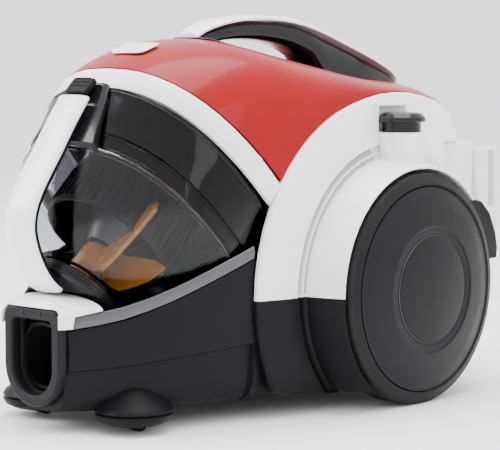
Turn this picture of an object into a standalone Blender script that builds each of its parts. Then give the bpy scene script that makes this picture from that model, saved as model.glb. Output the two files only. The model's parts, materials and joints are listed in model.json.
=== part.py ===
"""Canister vacuum cleaner with a tilted dust bin, two large rear wheels and two front casters.

Frame: +Z up, the hose inlet faces -Y, the left side of the machine is +X.
The origin is on the floor under the middle of the bounding box. Lengths here are in millimetres
and become metres when a mesh is made.
"""

from math import acos, atan2, copysign, cos, pi, radians, sin, sqrt

import bmesh
import bpy
from mathutils import Matrix, Vector

MM = 0.001
GAP = 0.4  # clearance between neighbouring parts

# Rear wheels
WHEEL_R = 88.5
AXLE_Y = 70.0
AXLE_Z = WHEEL_R
WHEEL_FACE_X = 136.0
HUB_FACE_X = 147.0
RIM_BAND_R = 77.7
HUB_RING_R = 47.4
HUB_CAP_R = 41.0

# Body sides
SIDE_X = 96.0  # outer edge of a side panel
PANEL_R = 145.0  # its radius about the axle
ARCH_R = 91.4  # wheel arch
ARCH_X = 134.0
SPLIT_Z = 89.0  # line between the white panel and the charcoal skirt
CASE_BOTTOM_Z = 15.0
CASE_HALF_W = 92.0
REAR_Y = 186.0  # rear end of the lower case
HOUSING_Y = 188.3  # rear end of the rear housing
BRACKET_Y = 219.5  # rear end of the parking brackets

# Dust bin: local X is world X, local Y points up and forward, local Z runs down and forward
BIN_TILT = radians(45.0)
BIN_Y = -69.5
BIN_Z = 193.5

# Front band, an arch square to the bin's axis
BAND_APEX_Y = -133.0
BAND_APEX_Z = 257.0
BAND_HALF_W = 95.0
BAND_DROP = 120.0
BAND_WIDTH = 17.0
ARCH_POWER = 2.5

# Hose inlet
INLET_Y = -207.0
INLET_Z = 53.5
INLET_W = 59.0
INLET_H = 71.0
INLET_WALL = 9.0

# Casters
CASTER_X = 50.0
CASTER_Y = -155.0
CASTER_DOME_R = 28.0
ROLLER_R = 6.5
AXLE_PLATE_R = 84.0


# ---------------------------------------------------------------- helpers


def clear_scene():
    for obj in list(bpy.data.objects):
        bpy.data.objects.remove(obj, do_unlink=True)


def material(name, color, roughness, metallic=0.0, alpha=1.0):
    made = bpy.data.materials.new(name)
    made.use_nodes = True
    shader = made.node_tree.nodes["Principled BSDF"]
    shader.inputs["Base Color"].default_value = (*color, 1.0)
    shader.inputs["Roughness"].default_value = roughness
    shader.inputs["Metallic"].default_value = metallic
    shader.inputs["Alpha"].default_value = alpha
    return made


FINISHES = {
    "red": ((0.50, 0.045, 0.04), 0.15, 0.0, 1.0),
    "white": ((0.82, 0.82, 0.83), 0.18, 0.0, 1.0),
    "charcoal": ((0.028, 0.028, 0.031), 0.35, 0.0, 1.0),
    "black": ((0.010, 0.010, 0.011), 0.30, 0.0, 1.0),
    "silver": ((0.28, 0.28, 0.30), 0.35, 0.6, 1.0),
    "wheel_grey": ((0.07, 0.07, 0.075), 0.38, 0.0, 1.0),
    "rubber": ((0.015, 0.015, 0.015), 0.65, 0.0, 1.0),
    "smoke": ((0.045, 0.045, 0.052), 0.08, 0.0, 0.85),
    "clear": ((0.75, 0.77, 0.78), 0.04, 0.0, 0.25),
    "amber": ((0.42, 0.16, 0.04), 0.30, 0.0, 1.0),
    "foam": ((0.10, 0.10, 0.12), 0.90, 0.0, 1.0),
    "steel": ((0.50, 0.50, 0.52), 0.30, 1.0, 1.0),
    "board": ((0.03, 0.16, 0.06), 0.50, 0.0, 1.0),
}


def part(name, mesh, finish, location=(0, 0, 0), parent=None, sharp=35.0):
    """A node: its mesh, its own material, and its place in millimetres."""
    color, roughness, metallic, alpha = FINISHES[finish]
    mesh.materials.append(material(name + "_" + finish, color, roughness, metallic, alpha))
    mesh.shade_smooth()
    mesh.set_sharp_from_angle(angle=radians(sharp))
    obj = bpy.data.objects.new(name, mesh)
    bpy.context.scene.collection.objects.link(obj)
    obj.location = Vector(location) * MM
    if parent:
        obj.parent = parent
    return obj


def mesh_from(name, build):
    """A mesh that the given function fills, with its faces turned outwards."""
    bm = bmesh.new()
    build(bm)
    bmesh.ops.remove_doubles(bm, verts=bm.verts, dist=1e-6)
    bmesh.ops.recalc_face_normals(bm, faces=bm.faces)
    mesh = bpy.data.meshes.new(name)
    bm.to_mesh(mesh)
    bm.free()
    return mesh


def loft(name, loops, cyclic=False, strip=False):
    """A closed body through closed loops of equal length; the two ends are capped.

    A strip's loop runs along one skin and back along the other, and its caps are rows of quads.
    """

    def build(bm):
        rings = [[bm.verts.new(Vector(p) * MM) for p in loop] for loop in loops]
        count = len(rings[0])
        pairs = list(zip(rings, rings[1:]))
        if cyclic:
            pairs.append((rings[-1], rings[0]))
        for first, second in pairs:
            for i in range(count):
                j = (i + 1) % count
                bm.faces.new((first[i], first[j], second[j], second[i]))
        for ring in () if cyclic else (rings[0], rings[-1]):
            if not strip:
                bm.faces.new(ring)
                continue
            for i in range(count // 2 - 1):
                bm.faces.new((ring[i], ring[i + 1], ring[count - 2 - i], ring[count - 1 - i]))

    return mesh_from(name, build)


def turned(name, profile, axis="Z", steps=32):
    """A closed (radius, height) outline spun a full turn about an axis."""

    def place(radius, height, angle):
        u = radius * cos(angle)
        v = radius * sin(angle)
        if axis == "X":
            return (height, u, v)
        if axis == "Y":
            return (v, height, u)
        return (u, v, height)

    touches = [r <= 1e-6 for r, _ in profile]
    if not any(touches):
        loops = [[place(r, h, 2 * pi * k / steps) for r, h in profile] for k in range(steps)]
        return loft(name, loops, cyclic=True)

    def build(bm):
        columns = []
        for r, h in profile:
            if r <= 1e-6:
                columns.append([bm.verts.new(Vector(place(0, h, 0)) * MM)] * steps)
            else:
                columns.append(
                    [bm.verts.new(Vector(place(r, h, 2 * pi * k / steps)) * MM) for k in range(steps)]
                )
        for a, b in zip(columns, columns[1:]):
            for k in range(steps):
                m = (k + 1) % steps
                corners = [a[k], a[m], b[m], b[k]]
                corners = [c for i, c in enumerate(corners) if c not in corners[:i]]
                if len(corners) > 2:
                    bm.faces.new(corners)

    return mesh_from(name, build)


def block(name, low, high, bevel=0.0, segments=2):
    """A box between two corners, with rounded edges."""

    def build(bm):
        bmesh.ops.create_cube(bm, size=1.0)
        middle = (Vector(low) + Vector(high)) / 2 * MM
        size = (Vector(high) - Vector(low)) * MM
        for vert in bm.verts:
            vert.co = Vector((vert.co.x * size.x, vert.co.y * size.y, vert.co.z * size.z)) + middle
        if bevel:
            bmesh.ops.bevel(
                bm, geom=bm.edges[:], offset=bevel * MM, segments=segments, profile=0.5, affect="EDGES"
            )

    return mesh_from(name, build)


def cut(obj, cutter):
    """Takes the cutter's shape out of the object."""
    cutter.hide_render = True
    cutter.display_type = "WIRE"
    modifier = obj.modifiers.new("cut_" + cutter.name, "BOOLEAN")
    modifier.operation = "DIFFERENCE"
    modifier.solver = "EXACT"
    modifier.object = cutter


def join(obj, other):
    """Joins the other shape to the object."""
    other.hide_render = True
    other.display_type = "WIRE"
    modifier = obj.modifiers.new("join_" + other.name, "BOOLEAN")
    modifier.operation = "UNION"
    modifier.solver = "EXACT"
    modifier.object = other


def smooth_path(points, count):
    """Points along a Catmull-Rom curve through the given ones, evenly spaced by parameter."""
    ends = [[2 * a - b for a, b in zip(points[0], points[1])]]
    tail = [[2 * a - b for a, b in zip(points[-1], points[-2])]]
    knots = ends + [list(p) for p in points] + tail
    spans = len(points) - 1
    path = []
    for i in range(count):
        t = i / (count - 1) * spans
        k = min(int(t), spans - 1)
        f = t - k
        p0, p1, p2, p3 = knots[k : k + 4]
        path.append(
            tuple(
                0.5 * (2 * b + f * (c - a + f * (2 * a - 5 * b + 4 * c - d + f * (3 * b - a - 3 * c + d))))
                for a, b, c, d in zip(p0, p1, p2, p3)
            )
        )
    return path


def lerp(a, b, t):
    return a + (b - a) * t


def table(value, pairs):
    """Linear reading of a short list of (place, value) pairs."""
    if value <= pairs[0][0]:
        return pairs[0][1]
    for (x0, y0), (x1, y1) in zip(pairs, pairs[1:]):
        if value <= x1:
            return lerp(y0, y1, (value - x0) / (x1 - x0))
    return pairs[-1][1]


def power_arch(theta, half_width, drop, power=ARCH_POWER):
    """Across and down from the apex on a superelliptic arch; theta is 0 at the apex."""
    across = half_width * copysign(abs(sin(theta)) ** (2 / power), sin(theta))
    down = drop * (1 - abs(cos(theta)) ** (2 / power))
    return across, down


def side_name(side):
    return "left" if side > 0 else "right"


# ---------------------------------------------------------------- top: red cover, band, handle


COVER_TOP = [
    (-133, 257),
    (-111, 268),
    (-80, 276.5),
    (-54, 278.5),
    (-32, 275.5),
    (0, 269),
    (31, 263),
    (62, 256.5),
    (95, 251),
    (130, 248),
    (164, 246.5),
    (195, 243.5),
]
COVER_STEPS = 16
COVER_WALL = 2.6
ARCH_STEPS = 22


COVER_LINE = smooth_path(COVER_TOP, COVER_STEPS + 1)


def cover_side(t):
    """Edge of the red cover along the side panel."""
    angle = lerp(36.0, 118.0, t)
    radius = PANEL_R - 3.0 + 15.0 * max(0.0, (angle - 62.0) / 56.0) ** 1.4
    return (AXLE_Y - radius * cos(radians(angle)), AXLE_Z + radius * sin(radians(angle)))


def cover_point(theta, t, inset=0.0):
    """A point of the cover: theta runs across it, t from its front edge to its rear edge."""
    half = BAND_HALF_W - 1.0 - inset
    across, _ = power_arch(theta, half, 1.0)
    power = lerp(ARCH_POWER, 1.2, t**1.6)
    down = 1.0 - max(0.0, 1.0 - abs(across / half) ** power) ** (1.0 / power)
    top = COVER_LINE[round(t * COVER_STEPS)]
    side = cover_side(t)
    lean = max(0.0, 1.0 - 4.0 * t)  # the front edge is cut square to the tilted band
    y = lerp(top[0] + 0.7 * inset * lean, side[0] + 0.7 * inset * lean, down)
    z = lerp(top[1] - inset * (1.0 - 0.3 * lean), side[1] - inset * 0.4, down)
    return (across, y, z)


def arch_angles(steps=ARCH_STEPS):
    return [lerp(-pi / 2, pi / 2, i / steps) for i in range(steps + 1)]


def make_top_cover():
    loops = []
    for row in range(COVER_STEPS + 1):
        t = row / COVER_STEPS
        outer = [cover_point(a, t) for a in arch_angles()]
        inner = [cover_point(a, t, COVER_WALL) for a in reversed(arch_angles())]
        loops.append(outer + inner)
    cover = part("top_cover", loft("top_cover", loops, strip=True), "red")
    cut(cover, finger_cup("finger_cup_room", 2.4, 4.0))
    for side in (1, -1):
        cut(cover, panel_room(side))


def band_point(theta, along, radial):
    """A point on the front band, along the bin's axis from the cover's edge and radial from it."""
    across, down = power_arch(theta, BAND_HALF_W + radial, BAND_DROP)
    step = sqrt(0.5)
    y = BAND_APEX_Y + down * step - (along + radial) * step
    z = BAND_APEX_Z - down * step - (along - radial) * step
    return (across, y, z)


def make_front_band():
    section = [
        (0.9, -0.3), (6.0, 0.6), (12.0, -0.4), (BAND_WIDTH, -2.8), (BAND_WIDTH, -5.6), (9.0, -4.6),
        (0.9, -3.4),
    ]
    loops = [[band_point(a, s, r) for s, r in section] for a in arch_angles()]
    band = part("front_band", loft("front_band", loops), "white")
    for side in (1, -1):
        cut(band, panel_room(side))


HANDLE_TOP = [
    (-50, 282.5),
    (-38, 288.5),
    (-20, 293.5),
    (0, 296.5),
    (22, 297.5),
    (51, 296),
    (81, 290),
    (119, 278),
    (150, 267.5),
    (174, 259),
    (188, 252.5),
    (196, 246.5),
]
HANDLE_DEPTH = [
    (-50, 6), (-36, 10), (-30, 11.3), (0, 14), (29, 15.9), (59, 18.7), (83, 24), (89, 29.6), (94, 44),
    (196, 44),
]
HANDLE_STEPS = 28
STRIP_TALL = 4.4
BASE_TALL = 1.3
HANDLE_WIDTH = [(-50, 22), (-20, 27), (20, 29), (80, 36), (150, 38), (180, 32), (196, 22)]
HANDLE_LINE_TOP = smooth_path(HANDLE_TOP, HANDLE_STEPS + 1)


def rounded(width, height, count=14, power=2.6):
    """A closed superelliptic section, (across, up) pairs about its middle."""
    pairs = []
    for i in range(count):
        a = 2 * pi * i / count
        across = width / 2 * copysign(abs(cos(a)) ** (2 / power), cos(a))
        up = height / 2 * copysign(abs(sin(a)) ** (2 / power), sin(a))
        pairs.append((across, up))
    return pairs


def tool(name, mesh):
    """A shape that only cuts or joins."""
    shape = bpy.data.objects.new(name, mesh)
    bpy.context.scene.collection.objects.link(shape)
    return shape


def cover_height(y):
    """Height of the cover's middle line."""
    return table(y, [(p[0], p[1]) for p in COVER_LINE])


def cover_mask(name, clearance):
    """The room of the red cover and a deep layer under it, grown by a clearance, as a cutter."""
    loops = []
    for row in range(-1, COVER_STEPS + 2):
        t = min(1.0, max(0.0, row / COVER_STEPS))
        shift = 12.0 * (row / COVER_STEPS - t) * COVER_STEPS
        outer = [cover_point(a, t, -clearance) for a in arch_angles()]
        inner = [
            (x * 0.8, y, z - 90.0)
            for x, y, z in (cover_point(a, t, 3.0) for a in reversed(arch_angles()))
        ]
        loops.append([(x, y + shift, z) for x, y, z in outer + inner])
    return tool(name, loft(name, loops, strip=True))


CUP_FRONT_Y = -20.0
CUP_REAR_Y = 78.0
CUP_HALF_W = 12.5
CUP_DEEP = 15.0


def finger_cup(name, grow, rise):
    """The finger room under the handle, sunk into the cover, grown on every side but its top."""
    loops = []
    for k in range(7):
        y = lerp(CUP_FRONT_Y - grow, CUP_REAR_Y + grow, k / 6)
        round_off = 3.0 if k in (0, 6) else 0.0
        half = CUP_HALF_W + grow - round_off
        floor = cover_height(y) - CUP_DEEP - grow + round_off
        top = cover_height(y) + rise
        loops.append([
            (-half, y, top), (half, y, top), (half, y, floor + 4), (half - 4, y, floor),
            (4 - half, y, floor), (-half, y, floor + 4),
        ])
    return tool(name, loft(name, loops))


def make_carry_handle():
    """One bow: it rises from the cover's front, arches over the finger gap and ends in a solid tail."""
    loops = []
    for y, line in HANDLE_LINE_TOP:
        width = table(y, HANDLE_WIDTH)
        top = line - STRIP_TALL
        floor = max(top - table(y, HANDLE_DEPTH), cover_height(y) - 14.0)
        middle = (top + floor) / 2
        loops.append([(dx, y, middle + dz) for dx, dz in rounded(width, top - floor, 16, 3.2)])
    handle = part("carry_handle", loft("carry_handle", loops), "black", sharp=50.0)
    base = []
    for y in (-46, -38, -20, 0, 20, 40, 60, 80, 92):
        half = table(y, [(-46, 9), (-30, 15), (80, 17), (92, 15)])
        top = cover_height(y) + table(y, [(-46, 2), (-30, BASE_TALL), (60, BASE_TALL), (92, 2)])
        base.append([
            (-half, y, top - 12), (half, y, top - 12), (half, y, top - 1.2), (half - 1.6, y, top),
            (1.6 - half, y, top), (-half, y, top - 1.2),
        ])
    join(handle, tool("handle_base", loft("handle_base", base)))
    cut(handle, cover_mask("cover_room", 0.4))
    join(handle, finger_cup("finger_cup", 2.0, 1.0))
    cut(handle, finger_cup("finger_room", 0.0, 4.0))


def make_handle_top_strip():
    """The white back of the handle, as wide as the handle itself."""
    loops = []
    for y, line in HANDLE_LINE_TOP:
        half = table(y, HANDLE_WIDTH) / 2
        low = line - STRIP_TALL + 0.4
        loops.append(
            [
                (-half, y, low),
                (half, y, low),
                (half, y, low + 1.6),
                (half - 2.2, y, line - 0.6),
                (half * 0.45, y, line),
                (-half * 0.45, y, line),
                (2.2 - half, y, line - 0.6),
                (-half, y, low + 1.6),
            ]
        )
    strip = part("handle_top_strip", loft("handle_top_strip", loops), "white")
    cut(strip, cover_mask("cover_room_for_strip", 0.4))


def make_handle_base_trim():
    """A thin bright line on the cover around the handle's base."""
    path = []
    for y in (86, 60, 30, 0, -25, -42, -51):
        path.append((table(y, [(-51, 12.0), (-42, 16.5), (86, 18.8)]), y))
    path.append((0.0, -54.0))
    path += [(-x, y) for x, y in reversed(path[:-1])]
    loops = []
    for i, (x, y) in enumerate(path):
        before, after = path[max(0, i - 1)], path[min(len(path) - 1, i + 1)]
        run = Vector((after[0] - before[0], after[1] - before[1])).normalized()
        z = cover_height(y)
        corners = ((-0.7, 0.5), (0.7, 0.5), (0.7, 1.4), (-0.7, 1.4))
        loops.append([(x + run.y * o, y - run.x * o, z + up) for o, up in corners])
    part("handle_base_trim", loft("handle_base_trim", loops), "silver")


def make_label_plate():
    """A blank rounded plate near the front of the cover."""
    loops = []
    for rise, grow in ((0.7, 0.0), (1.6, 0.0), (2.0, -0.7)):
        ring = []
        for dx, dy in rounded(36.0 + 2 * grow, 21.0 + 2 * grow, 20, 5.0):
            y = -104.0 + dy
            ring.append((dx, y, cover_height(y) - 0.001 * dx * dx + rise + 0.3))
        loops.append(ring)
    part("label_plate", loft("label_plate", loops), "white")


# ---------------------------------------------------------------- sides


PANEL_EDGE = [
    (0, 145), (78, 145), (93, 148.5), (110, 154), (118, 157.5), (121, 158.5), (126, 152.5),
    (131, 146), (136, 140),
]
PANEL_END = 136.0
RECESS_Y = 138.0  # behind this and below RECESS_Z only the arch of a panel is left
RECESS_Z = 197.6


def panel_radius(angle):
    """Outer radius of the white panel at an angle up from the front."""
    return table(angle, PANEL_EDGE)


def panel_room(side):
    """The room over a panel's rim, as a cutter for the cover and the band."""
    loops = []
    for i in range(29):
        angle = lerp(4.0, 132.0, i / 28)
        outer = panel_radius(angle) + 0.9
        loops.append([
            axle_point(side, r, x, angle)
            for r, x in ((90, 91.6), (90, 112), (outer, 112), (outer, 91.6))
        ])
    name = "panel_room_" + side_name(side)
    if name in bpy.data.objects:
        return bpy.data.objects[name]
    return tool(name, loft(name, loops))


def panel_section(outer_r, wall=2.5):
    """Closed (radius, x) outline of a side panel: edge, face, groove, flare and wheel arch."""
    mid_r = max(outer_r - 20.0, 112.0)
    return [
        (outer_r, SIDE_X - 4.0),
        (outer_r, SIDE_X - 1.5),
        (outer_r - 2.0, SIDE_X + 0.5),
        (mid_r, 102.0),
        (110.0, 103.2),
        (108.8, 99.6),
        (104.8, 100.6),
        (104.2, 103.2),
        (103.2, 103.2),
        (102.6, 101.4),
        (99.8, 103.5),
        (98.6, 113.0),
        (94.2, 131.5),
        (92.8, ARCH_X),
        (ARCH_R, ARCH_X - 0.8),
        (ARCH_R, 97.0),
        (ARCH_R + wall, 95.5),
        (mid_r, 98.5),
        (outer_r - wall, SIDE_X - 4.0),
    ]


def axle_point(side, radius, x, angle):
    a = radians(angle)
    return (side * x, AXLE_Y - radius * cos(a), AXLE_Z + radius * sin(a))


def make_side_panel(side):
    tag = side_name(side)
    loops = []
    steps = 20
    for i in range(steps + 1):
        angle = PANEL_END * i / steps
        loop = [axle_point(side, r, x, angle) for r, x in panel_section(panel_radius(angle))]
        loops.append([(x, y, z + GAP) for x, y, z in loop])
    panel = part("side_panel_" + tag, loft("side_panel_" + tag, loops), "white")
    recess = ((side * 80, RECESS_Y, 130), (side * 104.0, 240, RECESS_Z))
    low = tuple(min(a, b) for a, b in zip(*recess))
    high = tuple(max(a, b) for a, b in zip(*recess))
    cut(panel, tool("recess_" + tag, block("recess", low, high)))
    place = Vector((side * BUTTON_X, BUTTON_Y, 0)) * MM
    boss_line = [
        (0, 170), (BOSS_R, 170), (BOSS_R, BOSS_TOP_Z - 1.0), (BOSS_R - 1.0, BOSS_TOP_Z),
        (0, BOSS_TOP_Z),
    ]
    boss = tool("boss_" + tag, turned("boss", boss_line, steps=20))
    pocket = tool(
        "pocket_" + tag,
        turned("pocket", [(0, 205), (21.8, 205), (21.8, 228.5), (0, 228.5)], steps=20),
    )
    near, far = sorted((side * (BUTTON_X - 9.0), side * (BUTTON_X + 40.0)))
    outside = block("pocket_side", (near, BUTTON_Y - 40, 200), (far, BUTTON_Y + 40, 240))
    for shape in (boss, pocket):
        shape.location = place
    cut(pocket, tool("pocket_side_" + tag, outside))
    join(panel, boss)
    join(panel, pocket)
    arch = [(0, side * 90), (ARCH_R - 0.5, side * 90), (ARCH_R - 0.5, side * 150), (0, side * 150)]
    room = tool("arch_room_" + tag, turned("arch_room", arch, "X", 32))
    room.location = Vector((0, AXLE_Y, AXLE_Z + GAP)) * MM
    cut(panel, room)
    bore = [
        (0, 186),
        (BUTTON_NECK_R + 0.5, 186),
        (BUTTON_NECK_R + 0.5, BOSS_TOP_Z + 0.6),
        (BUTTON_CAP_R + 0.6, BOSS_TOP_Z + 0.6),
        (BUTTON_CAP_R + 0.6, 227.5),
        (0, 227.5),
    ]
    bore_tool = tool("bore_" + tag, turned("bore", bore, steps=20))
    bore_tool.location = place
    cut(panel, bore_tool)


def make_side_skirt(side):
    """Charcoal lower side: the same section as the panel above, cut off flat at the bottom."""
    reach = AXLE_Z - CASE_BOTTOM_Z
    loops = []
    steps = 9
    last = 50.0
    for i in range(steps + 1):
        down = last * i / steps
        outer = min(PANEL_R, reach / max(1e-3, sin(radians(down))))
        section = panel_section(outer)
        if outer < 116.0:
            section = [(min(r, lerp(outer, r, 0.15)) if r > ARCH_R + 3 else r, x) for r, x in section]
        loop = [axle_point(side, r, x, -down) for r, x in section]
        loops.append([(x, y, z - GAP) for x, y, z in loop])
    name = "side_skirt_" + side_name(side)
    part(name, loft(name, loops), "charcoal")


# ---------------------------------------------------------------- foot buttons

BUTTON_X = 112.0
BUTTON_Y = 70.5
BUTTON_NECK_R = 15.0
BUTTON_CAP_R = 18.5
BUTTON_TOP_Z = 222.7
BOSS_R = 17.6
BOSS_TOP_Z = 207.5


def make_button(side):
    top = BUTTON_TOP_Z
    profile = [
        (0, 193),
        (BUTTON_NECK_R - 3, 193),
        (BUTTON_NECK_R, 196),
        (BUTTON_NECK_R, top - 7.5),
        (BUTTON_CAP_R - 0.6, top - 7.5),
        (BUTTON_CAP_R, top - 6.6),
        (BUTTON_CAP_R, top - 4.2),
        (BUTTON_CAP_R - 3.0, top - 1.0),
        (BUTTON_CAP_R - 6, top),
        (0, top),
    ]
    name = "power_button" if side < 0 else "rewind_button"
    part(name, turned(name, profile, steps=20), "black", (side * BUTTON_X, BUTTON_Y, 0))


# ---------------------------------------------------------------- lower case and nose

CASE_W = [
    (-203, 29), (-196, 31.5), (-181, 44), (-161, 59), (-138, 73), (-106, 86), (-78, 90.8),
    (-60, 91.4),
]
TRIM_TOP = [
    (-203, 83), (-196, 84), (-181, 87), (-164, 91.5), (-146, 99), (-126, 107.5), (-104, 117.5),
    (-78, 127), (-66, 132),
]
STEP_Z = [(-203, 45), (-193, 46), (-177, 47), (-154, 50.5), (-120, 55), (-74, 58.6)]
TRIM_TALL = 9.0
CASE_WALL = 3.0
NOSE_FOOT_Z = 76.0
CORD_R = 4.5
CORD_X = -52.0
CORD_Z = 60.0
CASE_FRONT_Y = -199.0
TRIM_END_Y = -73.5
SIDE_FRONT_Y = -72.5


def case_side(y, inset=0.0):
    """Half outline of the tub at one place, (x, z) pairs from the top edge down to the floor."""
    w = table(y, CASE_W) - inset
    inside = y > SIDE_FRONT_Y
    top = SPLIT_Z - 3.0 if inside else table(y, TRIM_TOP) - TRIM_TALL - 1.0
    step = table(y, STEP_Z)
    tuck = 0.6 if inside else 4.0
    belly = 0.0 if inside else table(y, [(-150, 1.5), (-90, 0.6), (-74, 0.0)])
    floor = CASE_BOTTOM_Z + inset
    return [
        (w, top),
        (w + belly, lerp(step, top, 0.45)),
        (w, step),
        (w - tuck, step - 1.5),
        (w - tuck - 1.5, lerp(floor, step, 0.35)),
        (w - tuck - 6.0, floor + 4.0),
        (w - tuck - 13.0, floor),
    ]


def case_body(stations, inset=0.0, lift=0.0):
    """Full closed outlines of the tub; a lift raises the open top."""
    loops = []
    for y in stations:
        half = case_side(y, inset)
        if lift:
            half = [(half[0][0], half[0][1] + lift)] + half[1:]
        loops.append([(x, y, z) for x, z in half + [(-x, z) for x, z in reversed(half)]])
    return loops


def make_lower_case():
    stations = [CASE_FRONT_Y, -190, -178, -164, -148, -130, -112, -94, -80, SIDE_FRONT_Y - 0.5]
    stations += [SIDE_FRONT_Y + 0.1, 0, REAR_Y]
    case = part("lower_case", loft("lower_case", case_body(stations)), "charcoal")
    room = [CASE_FRONT_Y + CASE_WALL, -190, -178, -164, -148, -130, -112, -94, -80, SIDE_FRONT_Y - 0.5]
    room += [SIDE_FRONT_Y + 0.1, 0, REAR_Y - CASE_WALL]
    cut(case, tool("case_room", loft("case_room", case_body(room, CASE_WALL, 60.0))))
    mouth = inlet_outline(INLET_W - 2 * INLET_WALL + 6.0, INLET_H - 2 * INLET_WALL + 6.0)
    loops = [[(x, y, INLET_Z + z) for x, z in mouth] for y in (CASE_FRONT_Y - 8, CASE_FRONT_Y + 8)]
    cut(case, tool("case_mouth", loft("case_mouth", loops)))
    hole = [(0, REAR_Y - 12), (CORD_R + 4.9, REAR_Y - 12), (CORD_R + 4.9, REAR_Y + 8), (0, REAR_Y + 8)]
    cord_hole = tool("cord_hole", turned("cord_hole", hole, "Y", 12))
    cord_hole.location = Vector((CORD_X, 0, CORD_Z)) * MM
    cut(case, cord_hole)
    for side in (1, -1):
        tag = side_name(side)
        fairing = [(0, 15.2), (27.4, 15.2), (28.0, 16.2), (26.0, 19.5), (20.0, 24.0), (12.0, 30.0), (0, 34.0)]
        well = tool("well_" + tag, turned("well", fairing, steps=28))
        bore = [(0, 10), (4.6, 10), (4.6, 32.2), (0, 32.2)]
        hole = tool("caster_room_" + tag, turned("caster_room", bore, steps=20))
        well.location = hole.location = Vector((side * CASTER_X, CASTER_Y, 0)) * MM
        join(case, well)
        cut(case, hole)


def make_case_trim(side):
    """The silver band on the tub's front edge, one on each side."""
    path = [(table(TRIM_END_Y, CASE_W), TRIM_END_Y, table(TRIM_END_Y, TRIM_TOP))]
    for y in (-86, -98, -112, -126, -140, -154, -168, -181, -190, -198.4):
        path.append((table(y, CASE_W), y, table(y, TRIM_TOP)))
    loops = []
    for i, (x, y, z) in enumerate(path):
        before = path[max(0, i - 1)]
        after = path[min(len(path) - 1, i + 1)]
        along = Vector((after[0] - before[0], after[1] - before[1], 0)).normalized()
        out = Vector((-along.y, along.x, 0))
        corners = (
            (-0.6, 0), (0.2, -0.8), (0.9, -TRIM_TALL * 0.5), (0.3, -TRIM_TALL), (-2.0, -TRIM_TALL),
            (-2.2, -1.0),
        )
        points = [Vector((x, y, z)) + out * o + Vector((0, 0, u)) for o, u in corners]
        loops.append([(side * p.x, p.y, p.z) for p in points])
    name = "case_trim_" + side_name(side)
    part(name, loft(name, loops), "silver")


def inlet_outline(width, height, count_side=10):
    """Flat top with small corners and a round bottom, (x, z) pairs about the inlet's middle."""
    half = width / 2
    points = []
    corner = 6.0 * width / INLET_W
    top = height / 2
    for k in range(4):
        a = lerp(0, pi / 2, k / 3)
        points.append((half - corner + corner * cos(a), top - corner + corner * sin(a)))
    points += [(-x, z) for x, z in reversed(points)]
    bottom = -height / 2 + half
    for k in range(count_side * 2 - 1):
        a = lerp(pi, 2 * pi, k / (count_side * 2 - 2))
        points.append((half * cos(a), bottom + half * sin(a)))
    return points


def make_hose_inlet():
    outer = inlet_outline(INLET_W, INLET_H)
    inner = inlet_outline(INLET_W - 2 * INLET_WALL, INLET_H - 2 * INLET_WALL)
    duct_out = inlet_outline(INLET_W - 2 * INLET_WALL + 5.0, INLET_H - 2 * INLET_WALL + 5.0)
    front, back = INLET_Y, CASE_FRONT_Y - GAP

    def ring(outline, y, grow=0.0):
        return [(x * (1 + grow), y, INLET_Z + z * (1 + grow)) for x, z in outline]

    loops = [
        ring(outer, back),
        ring(outer, front + 2.0),
        ring(outer, front, -0.035),
        ring(inner, front, 0.05),
        ring(inner, front + 2.5),
        ring(inner, back),
    ]
    part("hose_inlet_ring", loft("hose_inlet_ring", loops, cyclic=True), "wheel_grey")
    seal_in = inlet_outline(INLET_W - 2 * INLET_WALL - 2.0, INLET_H - 2 * INLET_WALL - 2.0)
    seal = [
        ring(duct_out, back + 0.8), ring(seal_in, back + 0.8), ring(seal_in, back + 3.6),
        ring(duct_out, back + 3.6),
    ]
    part("inlet_seal", loft("inlet_seal", seal, cyclic=True), "rubber")


def make_inlet_duct():
    """The dirty air's way from the hose inlet, under the bin, up to the port in the bin's lid."""
    path = [
        (-195.4, 53.5), (-165, 45), (-135, 40), (-95, 39.5), (-62, 43), (-40, 54), (-33, 74),
        (-33, 94), (-33, 112),
    ]
    line = smooth_path(path, 15)
    outer, inner = [], []
    for i, (y, z) in enumerate(line):
        before, after = line[max(0, i - 1)], line[min(len(line) - 1, i + 1)]
        slope = atan2(after[1] - before[1], after[0] - before[0]) if i else 0.0
        size = lerp(1.0, 0.76, min(1.0, i / 6))
        for store, wall in ((outer, 0.0), (inner, 2.2)):
            ring = []
            for x, up in rounded((42 - 2 * wall) * size, (48 - 2 * wall) * size, 12, 3.0):
                ring.append((x, y - up * sin(slope), z + up * cos(slope)))
            store.append(ring)
    duct = part("inlet_duct", loft("inlet_duct", outer + list(reversed(inner)), cyclic=True), "charcoal")
    return duct


def make_nose_cover():
    """The white collar over the hose inlet."""
    stations = [
        (-208.0, 32.0, 90.5, 3.0), (-204.5, 34.0, 94.5, 2.8), (-199.6, 35.8, 96.0, 2.5),
        (-198.0, 36.3, 96.4, 2.4),
    ]
    stations += [(-188.0, 41.0, 97.0, 2.1), (-180.0, 45.5, 97.0, 2.0)]
    loops = []
    for y, half, top, power in stations:
        foot = table(y, TRIM_TOP) + 0.7 if y > CASE_FRONT_Y else NOSE_FOOT_Z
        outer, inner = [], []
        for k in range(15):
            theta = lerp(-pi / 2, pi / 2, k / 14)
            across, down = power_arch(theta, half, top - foot, power)
            outer.append((across, y, top - down))
            across, down = power_arch(theta, half - 2.4, top - 2.2 - foot, power)
            inner.append((across, y, top - 2.2 - down))
        loops.append(outer + list(reversed(inner)))
    cover = part("nose_cover", loft("nose_cover", loops, strip=True), "white")
    mouth = inlet_outline(INLET_W + 0.8, INLET_H + 0.8)
    loops = [[(x, y, INLET_Z + z) for x, z in mouth] for y in (INLET_Y - 8, CASE_FRONT_Y)]
    cut(cover, tool("nose_mouth", loft("nose_mouth", loops)))


# ---------------------------------------------------------------- rear


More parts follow.
